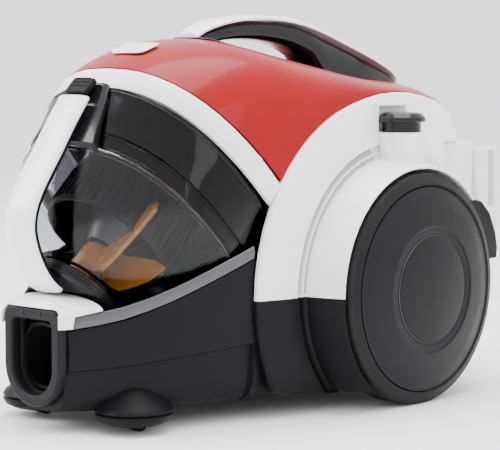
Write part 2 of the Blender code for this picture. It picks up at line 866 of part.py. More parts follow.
def make_rear():
    y, floor, roof = HOUSING_Y, SPLIT_Z + 0.6, RECESS_Z - 0.5
    shell = part(
        "rear_housing", block("rear_housing", (-95, RECESS_Y + 0.6, floor), (95, y, roof), 3.0, 2),
        "white",
    )
    cut(
        shell,
        tool("rear_room", block("rear_room", (-91.2, RECESS_Y - 20, floor + 4), (91.2, y - 3, roof - 3))),
    )
    cut(shell, tool("rear_window", block("rear_window", (-60, y - 8, 104), (60, y + 8, 180))))
    for side in (1, -1):
        profile = [(0, side * 85), (ARCH_R + 1.0, side * 85), (ARCH_R + 1.0, side * 110), (0, side * 110)]
        wheel_room = tool("wheel_room_" + side_name(side), turned("wheel_room", profile, "X", 48))
        wheel_room.location = Vector((0, AXLE_Y, AXLE_Z)) * MM
        cut(shell, wheel_room)
        make_parking_bracket(side)
        make_rear_foot(side)
    make_exhaust_grille()
    make_rear_cover()
    part("exhaust_filter", block("exhaust_filter", (-64, y - 22, 98), (64, y - 5, 186), 2.0), "foam")
    r, end = CORD_R, REAR_Y
    outlet = [
        (r, end - 8), (r + 4.5, end - 8), (r + 4.5, end + 0.4), (r + 7.5, end + 0.4),
        (r + 6.5, end + 2.2), (r, end + 2.2),
    ]
    part("cord_outlet", turned("cord_outlet", outlet, "Y", 12), "black", (CORD_X, 0, CORD_Z))


def make_rear_cover():
    """The white wall between the rear housing and the rear edge of the red cover."""
    loops = []
    for k in range(19):
        theta = lerp(-1.42, 1.42, k / 18)
        x, y, z = cover_point(theta, 1.0, COVER_WALL + 0.6)
        x = x * 90.8 / 94.0
        foot = lerp(HOUSING_Y - 2.0, 164.0, (abs(x) / 91.0) ** 3)
        top = z - 0.4
        middle = (lerp(foot, y, 0.75) + 1.0, lerp(RECESS_Z, top, 0.6))
        outer = [(x, foot, RECESS_Z + 0.2), (x, middle[0], middle[1]), (x, y - 1.0, top)]
        inner = [
            (x, y - 4.0, top - 0.4), (x, middle[0] - 3.0, middle[1] - 0.6),
            (x, foot - 3.0, RECESS_Z + 0.2),
        ]
        loops.append(outer + inner)
    part("rear_cover", loft("rear_cover", loops), "white")


def make_exhaust_grille():
    bars = 9
    y = HOUSING_Y
    grille = part(
        "exhaust_grille",
        block("exhaust_grille", (-59.6, y - 3.5, 104.4), (59.6, y + 1.5, 179.6), 1.0, 1), "charcoal",
    )
    for k in range(bars):
        z = lerp(111.0, 173.0, k / (bars - 1))
        cut(
            grille,
            tool(
                "grille_slot_%d" % k,
                block("grille_slot", (-52, y - 10, z - 1.8), (52, y + 10, z + 1.8)),
            ),
        )


def make_parking_bracket(side):
    """An upright channel on the rear corner that takes the floor tool's hook."""
    y0, y1 = HOUSING_Y + GAP, BRACKET_Y
    outline = [
        (76, y0),
        (94, y0),
        (97.4, y0 + 1.8),
        (99.2, y0 + 5.6),
        (99.4, y0 + 9.4),
        (99.2, y0 + 13),
        (97.4, y0 + 16.8),
        (95.5, y0 + 18.8),
        (96.5, y0 + 25.8),
        (98.4, y0 + 27.4),
        (98.4, y1 - 1.6),
        (96.8, y1),
        (84, y1),
        (76, y1 - 8),
    ]
    loops = [[(side * x, y, z) for x, y in outline] for z in (98.0, 190.5)]
    name = "parking_bracket_" + side_name(side)
    bracket = part(name, loft(name, loops), "white")
    slot = ((side * 86.0, y0 + 19.5, 142.0), (side * 110.0, y0 + 25.8, 188.0))
    low = tuple(min(a, b) for a, b in zip(*slot))
    high = tuple(max(a, b) for a, b in zip(*slot))
    cut(bracket, tool("slot_" + side_name(side), block("slot", low, high)))


def make_rear_foot(side):
    """A curved bumper behind the wheel that the machine stands on when parked upright."""
    outline = [
        (172.0, 101.0),
        (190.0, 100.6),
        (199.4, 100.8),
        (200.3, 108.9),
        (197.4, 121.4),
        (189.0, 138.4),
        (177.8, 148.4),
        (168.0, 150.4),
        (153.5, 150.6),
        (163.0, 129.0),
    ]
    loops = [[(side * x, y, z) for y, z in outline] for x in (100.0, 111.0)]
    loops.append([(side * 112.0, lerp(y, 178.0, 0.05), lerp(z, 122.0, 0.05)) for y, z in outline])
    name = "rear_foot_" + side_name(side)
    part(name, loft(name, loops), "rubber")


# ---------------------------------------------------------------- wheels


def make_wheel(side):
    place = (0, AXLE_Y, AXLE_Z)
    tag = side_name(side)
    face = WHEEL_FACE_X

    def outward(profile):
        return [(r, side * x) for r, x in profile]

    tyre = [
        (79.4, 110.0),
        (86.5, 110.0),
        (WHEEL_R, 112.0),
        (WHEEL_R, face - 6.0),
        (WHEEL_R - 0.8, face - 2.0),
        (WHEEL_R - 2.6, face),
        (RIM_BAND_R + 2.0, face + 1.9),
        (RIM_BAND_R + 0.9, face + 1.0),
        (RIM_BAND_R + 0.9, face - 6.0),
    ]
    disc = [
        (12.2, 112.0),
        (20.0, 112.0),
        (20.0, 129.0),
        (74.0, 129.0),
        (74.0, 112.0),
        (RIM_BAND_R, 112.0),
        (RIM_BAND_R + 0.5, 114.0),
        (RIM_BAND_R + 0.5, face + 1.0),
        (RIM_BAND_R, face + 1.9),
        (RIM_BAND_R - 3.0, face + 2.9),
        (65.0, face + 5.3),
        (55.0, face + 7.1),
        (HUB_RING_R + 1.0, face + 8.2),
        (HUB_RING_R, face + 7.6),
        (HUB_CAP_R + 0.8, face + 7.9),
        (HUB_CAP_R + 0.5, face + 2.0),
        (12.2, face + 2.0),
    ]
    cap = [
        (0, face + 2.6),
        (HUB_CAP_R - 0.4, face + 2.6),
        (HUB_CAP_R, face + 7.6),
        (HUB_CAP_R - 0.5, face + 8.5),
        (28.0, face + 10.2),
        (12.0, HUB_FACE_X - 0.15),
        (0, HUB_FACE_X),
    ]
    axle = [
        (0, 92.6), (AXLE_PLATE_R, 92.6), (AXLE_PLATE_R, 95.0), (24.0, 95.0), (19.0, 104.0),
        (11.6, 104.0), (11.6, face + 1.4), (0, face + 1.4),
    ]
    part("tyre_" + tag, turned("tyre_" + tag, outward(tyre), "X", 28), "rubber", place)
    part("wheel_disc_" + tag, turned("wheel_disc_" + tag, outward(disc), "X", 28), "wheel_grey", place)
    part("hub_cap_" + tag, turned("hub_cap_" + tag, outward(cap), "X", 28), "wheel_grey", place)
    part("axle_plate_" + tag, turned("axle_plate_" + tag, outward(axle), "X", 24), "charcoal", place)


# ---------------------------------------------------------------- casters


ROLLER_TRAIL = 3.0


def make_caster(side):
    """A flat dome on a stem that turns about an upright axis, with a roller inside."""
    tag = side_name(side)
    place = (side * CASTER_X, CASTER_Y, 0)
    dome = [
        (0, 31.5), (4.0, 31.5), (4.0, 14.6), (CASTER_DOME_R - 1.6, 14.6), (CASTER_DOME_R, 13.4),
        (CASTER_DOME_R, 12.4),
    ]
    for k in range(1, 5):
        a = radians(22.5 * k * 0.97)
        dome.append((CASTER_DOME_R * cos(a), 12.4 - 9.0 * sin(a)))
    dome.append((0, 3.4))
    housing = part(
        "caster_dome_" + tag, turned("caster_dome_" + tag, dome, steps=20), "charcoal", place,
        sharp=40.0,
    )
    room = tool(
        "roller_room_" + tag,
        block("roller_room", (-6.3, ROLLER_TRAIL - 7.4, -5), (6.3, ROLLER_TRAIL + 7.4, 13.5)),
    )
    room.location = Vector(place) * MM
    cut(housing, room)
    roller = [(0, -5.6), (5.6, -5.6), (ROLLER_R, -4.4), (ROLLER_R, 4.4), (5.6, 5.6), (0, 5.6)]
    at = (side * CASTER_X, CASTER_Y + ROLLER_TRAIL, ROLLER_R)
    part("caster_roller_" + tag, turned("caster_roller_" + tag, roller, "X", 20), "rubber", at)


# ---------------------------------------------------------------- dust bin

RING_STEPS = 28
BIN_POWER = [(18, 2.5), (66, 2.5), (110, 2.2), (133, 2.0)]
BIN_HALF_W = [
    (12, 89), (18, 89), (54, 88), (66, 87), (80, 83.5), (95, 76.5), (110, 66), (122, 54), (130, 42),
    (134, 36),
]
BIN_APEX = [
    (12, 91), (18, 91), (54, 83), (66, 80), (80, 77), (95, 70.5), (110, 61), (122, 50), (130, 39),
    (134, 34),
]
BIN_MIDDLE = [(12, -22), (66, -20), (95, -12), (134, 0)]
BIN_LOW = [(12, 92), (66, 88), (80, 83), (95, 75), (110, 66), (122, 54), (130, 42), (134, 36)]


def bin_ring(along, inset=0.0, steps=RING_STEPS):
    """One closed ring of the bin's skin, square to its axis, in the bin's own frame."""
    power = table(along, BIN_POWER)
    half = table(along, BIN_HALF_W) - inset
    middle = table(along, BIN_MIDDLE)
    up = table(along, BIN_APEX) - middle - inset
    low = table(along, BIN_LOW) + middle - inset
    ring = []
    for k in range(steps):
        a = 2 * pi * k / steps
        rise = cos(a)
        x = half * copysign(abs(sin(a)) ** (2 / power), sin(a))
        reach = up if rise > 0 else low
        ring.append((x, middle + reach * copysign(abs(rise) ** (2 / power), rise), along))
    return ring


def round_ring(along, radius, steps=RING_STEPS):
    ring = []
    for k in range(steps):
        a = 2 * pi * k / steps
        ring.append((radius * sin(a), radius * cos(a), along))
    return ring


def bin_frame():
    frame = bpy.data.objects.new("bin_frame", None)
    bpy.context.scene.collection.objects.link(frame)
    s, c = sin(BIN_TILT), cos(BIN_TILT)
    axes = Matrix(((1, 0, 0), (0, -c, -s), (0, s, -c)))
    frame.matrix_world = Matrix.Translation(Vector((0, BIN_Y, BIN_Z)) * MM) @ axes.to_4x4()
    return frame


LID_BACK = 18.2
LID_EDGE = 65.6
PORT_R = 21.0
PORT_IN_R = 13.0
PORT_L = 42.0
CYCLONE_R = 50.0
CYCLONE_END = 92.0


def air_port(frame):
    """The round hole where the dirty air enters the lid from below, as a cutter."""
    if "air_port" in bpy.data.objects:
        return bpy.data.objects["air_port"]
    port = tool(
        "air_port",
        turned("air_port", [(0, -110), (PORT_IN_R, -110), (PORT_IN_R, -70), (0, -70)], "Y", 28),
    )
    port.parent = frame
    port.location = Vector((0, 0, PORT_L)) * MM
    return port


def make_bin_lid(frame):
    wall = 2.6
    outer = [
        bin_ring(LID_BACK, 3.0), bin_ring(LID_BACK + 0.9, 0.7), bin_ring(LID_BACK + 3.0),
        bin_ring(36.0), bin_ring(54.0),
    ]
    outer += [bin_ring(54.6, 1.2), bin_ring(LID_EDGE, 1.0)]
    inner = [
        bin_ring(LID_EDGE, wall + 1.0), bin_ring(54.0, wall + 1.2),
        bin_ring(LID_BACK + 6.0, wall + 0.4),
    ]
    inner += [bin_ring(LID_BACK + wall + 0.6, wall + 5.0), round_ring(LID_BACK + wall + 0.6, PORT_R)]
    loops = [round_ring(LID_BACK, PORT_R)] + outer + inner
    lid = part("bin_lid", loft("bin_lid", loops, cyclic=True), "smoke", parent=frame)
    cut(lid, air_port(frame))


def make_bin_bowl(frame):
    wall = 2.4
    stations = [80.0, 95.0, 110.0, 122.0, 130.0, 134.0]
    outer = [bin_ring(LID_EDGE + 0.5, 0.0), bin_ring(68.5, 0.0)] + [bin_ring(s, 0.6) for s in stations]
    inner = [
        bin_ring(s - 1.6, wall + 0.6)
        for s in reversed(stations)
    ] + [bin_ring(LID_EDGE + 0.5, wall + 0.4)]
    floor_out = round_ring(134.0, 6.0)
    floor_in = round_ring(131.4, 6.0)
    inner[0] = bin_ring(131.4, wall + 3.0)
    loops = outer + [floor_out, floor_in] + inner
    part("bin_bowl", loft("bin_bowl", loops, cyclic=True), "clear", parent=frame)


def make_bin_seal(frame):
    section = [(59.0, 4.6), (59.0, 7.6), (LID_EDGE - 0.6, 7.6), (LID_EDGE - 0.6, 4.6)]
    loops = [bin_ring(s, inset) for s, inset in section]
    part("bin_seal", loft("bin_seal", loops, cyclic=True), "rubber", parent=frame)


def make_cyclone(frame):
    base = LID_BACK + 3.8
    wall = 2.2
    profile = [
        (PORT_R + 1.0, base),
        (CYCLONE_R, base),
        (CYCLONE_R, CYCLONE_END),
        (CYCLONE_R - wall, CYCLONE_END),
        (CYCLONE_R - wall, base + wall),
        (PORT_R + 1.0, base + wall),
    ]
    part("cyclone_body", turned("cyclone_body", profile, steps=28), "charcoal", parent=frame)
    cone = [(44.0, 30.0), (44.0, 34.0), (13.0, 96.0), (11.0, 96.0), (41.0, 33.5), (41.0, 30.0)]
    part("cyclone_cone", turned("cyclone_cone", cone, steps=24), "silver", parent=frame)


BLADE_ANGLE = 25.0
FIXED_PLATE_ANGLE = -10.0


def make_press_blade(frame):
    """A hub on the bin's floor with a plate that stands up beside the cyclone."""
    hub = part(
        "press_blade",
        turned(
            "press_blade",
            [(0, 98), (11, 98), (12.5, 102), (12.5, 130.4), (4.6, 130.6), (4.6, 141.0), (0, 141.0)],
            steps=28,
        ),
        "amber",
        parent=frame,
    )
    outline = [(6, 101), (54, 96), (54, 72), (66, 72), (72, 80), (65, 98), (52, 116), (38, 127), (6, 129)]
    loops = [[(r, offset, along) for r, along in outline] for offset in (-1.6, 1.6)]
    plate = bpy.data.objects.new("blade_plate", loft("blade_plate", loops))
    bpy.context.scene.collection.objects.link(plate)
    plate.parent = frame
    plate.rotation_euler = (0, 0, radians(BLADE_ANGLE))
    join(hub, plate)


def make_fixed_plate(frame):
    """The plate on the bowl's floor that the turning plate presses the dust against."""
    outline = [(14.5, 98), (50, 96), (61, 100), (54, 113), (45, 121), (36, 127), (14.5, 130)]
    loops = [[(r, offset, along) for r, along in outline] for offset in (-1.2, 1.2)]
    plate = part("fixed_plate", loft("fixed_plate", loops), "amber", parent=frame)
    plate.rotation_euler = (0, 0, radians(FIXED_PLATE_ANGLE))


def make_bin_base(frame):
    profile = [(8.0, 134.6), (33.0, 134.6), (36.0, 136.0), (36.0, 144.0), (33.0, 145.6), (8.0, 145.6)]
    part("bin_base", turned("bin_base", profile, steps=24), "black", parent=frame)


HANDLE_LINE = [
    (-166, 238), (-180, 219), (-194, 198), (-208, 178), (-216.5, 162), (-219.5, 147), (-217, 133),
    (-211, 119), (-202, 106), (-192, 98),
]


def bin_handle_path(count=20):
    """The bin handle's outer face in the plane x = 0, as (up, along) in the bin's frame."""
    path = []
    for y, z in smooth_path(HANDLE_LINE, count):
        dy, dz = y - BIN_Y, z - BIN_Z
        path.append(((dz - dy) * sqrt(0.5), -(dy + dz) * sqrt(0.5)))
    return path


def strap(path, sections):
    """Loops of a strap that follows a path: each section is (across, depth) pairs, depth inwards."""
    loops = []
    for i, (up, along) in enumerate(path):
        before, after = path[max(0, i - 1)], path[min(len(path) - 1, i + 1)]
        run = Vector((after[0] - before[0], after[1] - before[1])).normalized()
        inward = Vector((-run.y, run.x))
        if inward.x > 0 and i < len(path) / 2:
            inward = -inward
        loops.append([(x, up + inward.x * d, along + inward.y * d) for x, d in sections])
    return loops


def make_bin_handle(frame):
    half = 15.0
    face = [
        (-half, 1.6), (-half * 0.6, 0.3), (0, 0), (half * 0.6, 0.3), (half, 1.6), (half, 4.6),
        (-half, 4.6),
    ]
    path = bin_handle_path()
    part("bin_handle", loft("bin_handle", strap(path, face)), "white", parent=frame)
    inner = [(-half + 1, 5.0), (half - 1, 5.0), (half - 2, 8.4), (2 - half, 8.4)]
    part("bin_handle_lining", loft("bin_handle_lining", strap(path[1:-1], inner)), "black", parent=frame)


def make_handle_mount(frame):
    """The dark block on the lid that the handle and its latch are fixed to."""
    loops = []
    for along, half, top in (
        (19.0, 19.0, 94.0), (30.0, 23.0, 91.6), (45.0, 27.0, 89.2), (58.0, 30.0, 87.0),
        (68.0, 33.0, 84.8),
    ):
        floor = table(along, BIN_APEX) - 14.0
        side = (half - 0.5, top - 1.6, along)
        loops.append([
            (-half, floor, along), (half, floor, along), side, (14.0, top, along),
            (-14.0, top, along), (-side[0], side[1], along),
        ])
    mount = part("handle_mount", loft("handle_mount", loops), "black", parent=frame)
    lid_room = [
        bin_ring(10.0, -0.5), bin_ring(21.0, -0.5), bin_ring(36.0, -0.5), bin_ring(54.0, -0.5),
        bin_ring(66.0, -0.6), bin_ring(76.0, -0.6),
    ]
    lid_tool = tool("lid_room", loft("lid_room", lid_room))
    lid_tool.parent = frame
    cut(mount, lid_tool)


def make_latch(frame):
    lever = block("latch_lever", (-11, -0.5, -0.5), (11, 4.5, 13.5), 1.0, 1)
    part("latch_lever", lever, "charcoal", (0, 95.5, 20.5), frame)


# ---------------------------------------------------------------- inside


CRADLE_EDGE = [(18, -64), (41, -62), (60, -56), (79, -48), (123, -30), (150, -20)]


def cradle_arc(along, inset, middle=None, count=19):
    """The lower part of a bin ring, from edge to edge, in the bin's own frame."""
    power = table(along, BIN_POWER)
    half = table(along, BIN_HALF_W) - inset
    middle = table(along, BIN_MIDDLE)
    low = table(along, BIN_LOW) + middle - inset
    edge = min(0.95, max(0.05, (middle - table(along, CRADLE_EDGE)) / low))
    start = acos(edge ** (power / 2))
    arc = []
    for k in range(count):
        a = lerp(-start, start, k / (count - 1))
        x = half * copysign(abs(sin(a)) ** (2 / power), sin(a))
        arc.append((x, middle - low * abs(cos(a)) ** (2 / power), along))
    return arc


def make_bin_cradle(frame):
    """The black shell under the bin, with the air port's hole."""
    loops = []
    for along in (19.0, 36.0, 54.0, 66.0, 80.0, 95.0, 110.0, 122.0, 130.0, 134.0, 149.0):
        outer = cradle_arc(along, -3.4)
        inner = cradle_arc(along, -1.0)
        loops.append(outer + list(reversed(inner)))
    cradle = part("bin_cradle", loft("bin_cradle", loops, strip=True), "black", parent=frame)
    cut(cradle, air_port(frame))
    room = [
        bin_ring(s, -4.0)
        for s in (5.0, 19.0, 36.0, 54.0, 66.0, 80.0, 95.0, 110.0, 122.0, 130.0, 134.0)
    ]
    room.append([(x, y, 160.0) for x, y, _ in room[-1]])
    room_tool = tool("cradle_room", loft("cradle_room", room))
    room_tool.parent = frame
    cut(make_inlet_duct(), room_tool)


def make_bulkhead(frame):
    """The wall behind the bin, with the port to the filter."""
    front, back = LID_BACK - 0.8, 6.0
    rim = [[(x, y, along) for x, y, _ in bin_ring(18.0, 8.0)] for along in (back, front)]
    loops = [round_ring(back, PORT_R), rim[0], rim[1], round_ring(front, PORT_R + 6.0)]
    loops += [round_ring(front - 3.0, PORT_R + 6.0), round_ring(front - 3.0, PORT_R)]
    part("bulkhead", loft("bulkhead", loops, cyclic=True), "black", parent=frame)
    seal = [
        (PORT_R + 0.5, front - 2.6), (PORT_R + 5.5, front - 2.6), (PORT_R + 5.5, front),
        (PORT_R + 0.5, front),
    ]
    part("port_seal", turned("port_seal", seal, steps=28), "rubber", parent=frame)
    part(
        "motor_filter", turned("motor_filter", [(0, -14), (46, -14), (46, 2), (0, 2)], steps=20),
        "foam", parent=frame,
    )


def make_inside():
    motor = [(0, 40), (30, 40), (47, 46), (47, 74), (40, 80), (40, 126), (34, 134), (12, 136), (0, 136)]
    part("motor", turned("motor", motor, "Y", 28), "steel", (36, 0, 82))
    part(
        "motor_mount",
        turned("motor_mount", [(47.6, 52), (51.5, 52), (51.5, 66), (47.6, 66)], "Y", 24), "rubber",
        (36, 0, 82),
    )
    reel = [(9, -74), (64, -74), (64, -71), (30, -71), (30, -33), (64, -33), (64, -30), (9, -30)]
    part("cord_reel", turned("cord_reel", reel, "X", 20), "charcoal", (0, 68, 92))
    part("circuit_board", block("circuit_board", (-40, 60, 166), (40, 130, 168.4)), "board")


def main():
    clear_scene()
    make_top_cover()
    make_front_band()
    make_carry_handle()
    make_handle_top_strip()
    make_handle_base_trim()
    make_label_plate()
    for side in (1, -1):
        make_side_panel(side)
        make_case_trim(side)
        make_side_skirt(side)
        make_button(side)
        make_wheel(side)
        make_caster(side)
    make_lower_case()
    make_hose_inlet()
    make_nose_cover()
    make_rear()
    frame = bin_frame()
    make_bin_lid(frame)
    make_bin_bowl(frame)
    make_bin_seal(frame)
    make_cyclone(frame)
    make_press_blade(frame)
    make_fixed_plate(frame)
    make_bin_base(frame)
    make_bin_handle(frame)
    make_handle_mount(frame)
    make_latch(frame)
    make_bin_cradle(frame)
    make_bulkhead(frame)
    make_inside()


main()
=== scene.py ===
"""Looks of the canister vacuum cleaner: materials, rounded edges, fine pieces, floor, light and camera."""

import json
from math import cos, pi, radians, sin

import bmesh
import bpy
from mathutils import Matrix, Vector
from mathutils.bvhtree import BVHTree


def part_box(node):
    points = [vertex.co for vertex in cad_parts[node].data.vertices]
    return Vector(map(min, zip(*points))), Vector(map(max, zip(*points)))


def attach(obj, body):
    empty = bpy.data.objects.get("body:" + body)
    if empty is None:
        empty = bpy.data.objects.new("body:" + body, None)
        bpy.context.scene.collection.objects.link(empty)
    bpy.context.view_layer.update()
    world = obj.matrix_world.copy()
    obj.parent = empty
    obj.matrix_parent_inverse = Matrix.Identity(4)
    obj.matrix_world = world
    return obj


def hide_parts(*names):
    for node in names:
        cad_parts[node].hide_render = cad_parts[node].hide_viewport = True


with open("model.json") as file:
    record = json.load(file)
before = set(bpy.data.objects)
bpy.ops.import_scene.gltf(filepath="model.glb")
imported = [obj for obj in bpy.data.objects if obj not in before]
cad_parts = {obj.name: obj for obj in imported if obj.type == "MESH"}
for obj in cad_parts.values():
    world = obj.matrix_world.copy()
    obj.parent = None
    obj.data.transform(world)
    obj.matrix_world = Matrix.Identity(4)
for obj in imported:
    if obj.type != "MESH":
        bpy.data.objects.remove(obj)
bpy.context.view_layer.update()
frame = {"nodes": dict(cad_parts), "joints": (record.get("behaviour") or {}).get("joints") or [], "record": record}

# One millimetre, and the distance within which vertices of a CAD node are merged, in metres.
MM = 0.001
WELD = 0.000004
BODY_OF = {node: body for body, nodes in frame["record"]["behaviour"]["bodies"].items() for node in nodes}
SLOT_OF = {row["node"]: row["material_slot"] for row in frame["record"]["subparts"]}
JOINT = {joint["name"]: joint for joint in frame["joints"]}
SIDES = (("left", 1), ("right", -1))


# ---------------------------------------------------------------- materials

NOISE_LOW = 0.3
NOISE_HIGH = 0.7
COAT_ROUGHNESS = 0.06
COAT_IOR = 1.5
ACRYLIC_IOR = 1.22
ACRYLIC_DRIFT = 0.05


class Graph:
    """A small helper that builds one procedural material."""

    def __init__(self, name):
        self.material = bpy.data.materials.new(name)
        self.material.use_nodes = True
        self.nodes = self.material.node_tree.nodes
        self.links = self.material.node_tree.links
        self.shader = self.nodes["Principled BSDF"]
        self.coordinates = self.nodes.new("ShaderNodeTexCoord").outputs["Object"]
        self.height = None

    def set(self, **values):
        for key, value in values.items():
            self.shader.inputs[key.replace("_", " ")].default_value = value

    def link(self, output, node, key):
        self.links.new(output, node.inputs[key])

    def noise(self, scale, detail, stretch=None):
        node = self.nodes.new("ShaderNodeTexNoise")
        node.inputs["Scale"].default_value = scale
        node.inputs["Detail"].default_value = detail
        self.link(self.stretched(stretch), node, "Vector")
        return node.outputs["Fac"]

    def cells(self, scale, stretch=None, feature="F1"):
        node = self.nodes.new("ShaderNodeTexVoronoi")
        node.feature = feature
        node.inputs["Scale"].default_value = scale
        self.link(self.stretched(stretch), node, "Vector")
        return node.outputs["Distance"]

    def stretched(self, stretch):
        if stretch is None:
            return self.coordinates
        node = self.nodes.new("ShaderNodeMapping")
        node.inputs["Scale"].default_value = stretch
        self.link(self.coordinates, node, "Vector")
        return node.outputs["Vector"]

    def ramp(self, value, low, high, dark, light):
        """Turns a value into a colour between dark and light."""
        node = self.nodes.new("ShaderNodeValToRGB")
        node.color_ramp.elements[0].position = low
        node.color_ramp.elements[1].position = high
        node.color_ramp.elements[0].color = (*dark, 1.0)
        node.color_ramp.elements[1].color = (*light, 1.0)
        self.link(value, node, "Fac")
        return node.outputs["Color"]

    def spread(self, value, low, high):
        """Stretches the middle of a noise so that it runs from low to high."""
        node = self.nodes.new("ShaderNodeMapRange")
        node.inputs["From Min"].default_value = NOISE_LOW
        node.inputs["From Max"].default_value = NOISE_HIGH
        node.inputs["To Min"].default_value = low
        node.inputs["To Max"].default_value = high
        self.link(value, node, "Value")
        return node.outputs["Result"]

    def bump(self, value, distance):
        """Adds relief, in metres, on top of the relief that is there already."""
        node = self.nodes.new("ShaderNodeBump")
        node.inputs["Distance"].default_value = distance
        node.inputs["Strength"].default_value = 1.0
        self.link(value, node, "Height")
        if self.height is not None:
            self.link(self.height, node, "Normal")
        self.height = node.outputs["Normal"]
        self.link(self.height, self.shader, "Normal")


def moulded(name, colour, rough, grain=0.0, grain_scale=900.0, coat=0.0, metal=0.0, vary=0.06, shine=0.5):
    """Moulded plastic with a faint colour drift, handling marks in the gloss, and a grain if one is given."""
    graph = Graph(name)
    dark = tuple(c * (1.0 - vary) for c in colour)
    light = tuple(min(1.0, c * (1.0 + vary)) for c in colour)
    graph.link(graph.ramp(graph.noise(9.0, 4.0), 0.35, 0.65, dark, light), graph.shader, "Base Color")
    graph.link(graph.spread(graph.noise(38.0, 6.0), rough * 0.85, rough * 1.2), graph.shader, "Roughness")
    graph.set(Metallic=metal, Coat_Weight=coat, Coat_Roughness=COAT_ROUGHNESS, Coat_IOR=COAT_IOR)
    graph.set(Specular_IOR_Level=shine)
    if grain:
        graph.bump(graph.noise(grain_scale, 2.0), grain)
    graph.bump(graph.noise(26.0, 1.0), 0.00004)
    return graph


def red_gloss():
    """Clear-coated red with a fine pearl fleck."""
    graph = moulded("red_gloss", (0.25, 0.0010, 0.0035), 0.36, coat=0.12, vary=0.04, shine=0.10)
    fleck = graph.cells(2600.0)
    graph.link(graph.spread(fleck, 0.28, 0.40), graph.shader, "Roughness")
    return graph.material


def see_through(name, colour, rough):
    """Clear or smoked acrylic with faint flow marks and fine wipe marks."""
    graph = Graph(name)
    dark = tuple(c * (1.0 - ACRYLIC_DRIFT) for c in colour)
    graph.link(graph.ramp(graph.noise(14.0, 4.0), 0.3, 0.7, dark, colour), graph.shader, "Base Color")
    graph.link(graph.spread(graph.noise(22.0, 2.0), rough * 0.6, rough * 1.3), graph.shader, "Roughness")
    graph.set(Transmission_Weight=1.0, IOR=ACRYLIC_IOR, Coat_Weight=0.1)
    graph.bump(graph.noise(20.0, 1.0), 0.00005)
    return graph.material


def rubber():
    """Matt black rubber with a fine cell texture."""
    graph = moulded("rubber_black", (0.010, 0.010, 0.010), 0.75, 0.00003, 700.0, vary=0.15, shine=0.2)
    graph.bump(graph.cells(420.0), 0.00003)
    return graph.material


def foam():
    """Grey open-cell filter foam."""
    graph = moulded("filter_foam", (0.10, 0.10, 0.12), 0.95, vary=0.2)
    graph.bump(graph.cells(900.0), 0.0006)
    graph.set(Sheen_Weight=0.3)
    return graph.material


def motor_metal():
    """Drawn steel with fine lines along one direction."""
    graph = moulded("motor_metal", (0.52, 0.52, 0.54), 0.34, metal=1.0)
    graph.bump(graph.noise(240.0, 2.0, (1.0, 14.0, 1.0)), 0.00003)
    return graph.material


def circuit_green():
    """Green lacquer over a net of copper tracks."""
    graph = moulded("circuit_green", (0.03, 0.16, 0.06), 0.4)
    net = graph.cells(260.0, (1.0, 1.0, 3.0), "DISTANCE_TO_EDGE")
    tracks = graph.ramp(net, 0.08, 0.12, (0.30, 0.20, 0.05), (0.025, 0.15, 0.05))
    graph.link(tracks, graph.shader, "Base Color")
    return graph.material


def amber():
    """Translucent amber plastic."""
    graph = moulded("amber_plastic", (0.50, 0.19, 0.012), 0.28, coat=0.2, vary=0.12)
    graph.set(Subsurface_Weight=0.15, Subsurface_Radius=(0.004, 0.002, 0.0005), Transmission_Weight=0.05)
    return graph.material


LOOK = {
    "red": red_gloss(),
    "white": moulded("white_gloss", (0.84, 0.84, 0.855), 0.22, coat=0.3, vary=0.015).material,
    "charcoal": moulded(
        "charcoal_satin", (0.0055, 0.0055, 0.0062), 0.42, 0.000004, 600.0, vary=0.15, shine=0.10,
    ).material,
    "black": moulded("black_gloss", (0.006, 0.006, 0.007), 0.18, coat=0.12, vary=0.2, shine=0.2).material,
    "silver": moulded("silver_satin", (0.075, 0.075, 0.081), 0.34, 0.00001, 900.0, metal=0.5).material,
    "wheel_grey": moulded(
        "wheel_grey_satin", (0.0085, 0.0085, 0.0095), 0.40, 0.00001, 700.0, vary=0.12, shine=0.12,
    ).material,
    "rubber": rubber(),
    "smoke": see_through("smoked_acrylic", (0.13, 0.12, 0.145), 0.05),
    "clear": see_through("clear_acrylic", (0.66, 0.67, 0.68), 0.03),
    "amber": amber(),
    "foam": foam(),
    "motor_metal": motor_metal(),
    "board": circuit_green(),
}


PIECE_LOOK = {
    "cyclone_body_shell": moulded(
        "cyclone_satin", (0.016, 0.016, 0.018), 0.5, vary=0.2, shine=0.15,
    ).material,
    "cyclone_louvres": moulded("louvre_satin", (0.010, 0.010, 0.012), 0.45, vary=0.2, shine=0.15).material,
}
# Painted shade: a flat mid grey for the tubes along each side panel, standing in for the shadowed floor of the
# groove there.
GROOVE_SHADE_GREY = moulded("painted_groove_shade", (0.34, 0.34, 0.355), 0.4, vary=0.05).material
for line_name in ("outer", "inner"):
    for line_side, _ in SIDES:
        PIECE_LOOK["panel_groove_shade_%s_%s" % (line_name, line_side)] = GROOVE_SHADE_GREY


# ---------------------------------------------------------------- mesh helpers

# Degrees: faces flatter than this are joined, harder edges are bevelled, sharper ones stay sharp in shading.
FLAT_ANGLE = 0.6
HARD_ANGLE = 28.0
SHARP_ANGLE = 34.0
TURNED_SHARP_ANGLE = 30.0

# Metres: the smallest edge that is kept on a CAD node, on a turned piece, and where a plane cuts a node.
SMALLEST_EDGE = 0.00001
SMALLEST_TURNED_EDGE = 0.0000005
CUT_TOLERANCE = 0.0000001
SAME_POINT = 0.000001

# The radius in millimetres at which a turned profile starts, so that its middle stays closed.
ON_AXIS = 0.01


def settle(piece, body, slot, sharp):
    """Gives a finished mesh its shading, material and body."""
    piece.data.shade_smooth()
    piece.data.set_sharp_from_angle(angle=radians(sharp))
    piece.data.materials.clear()
    piece.data.materials.append(PIECE_LOOK.get(piece.name, LOOK[slot]))
    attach(piece, body)
    return piece


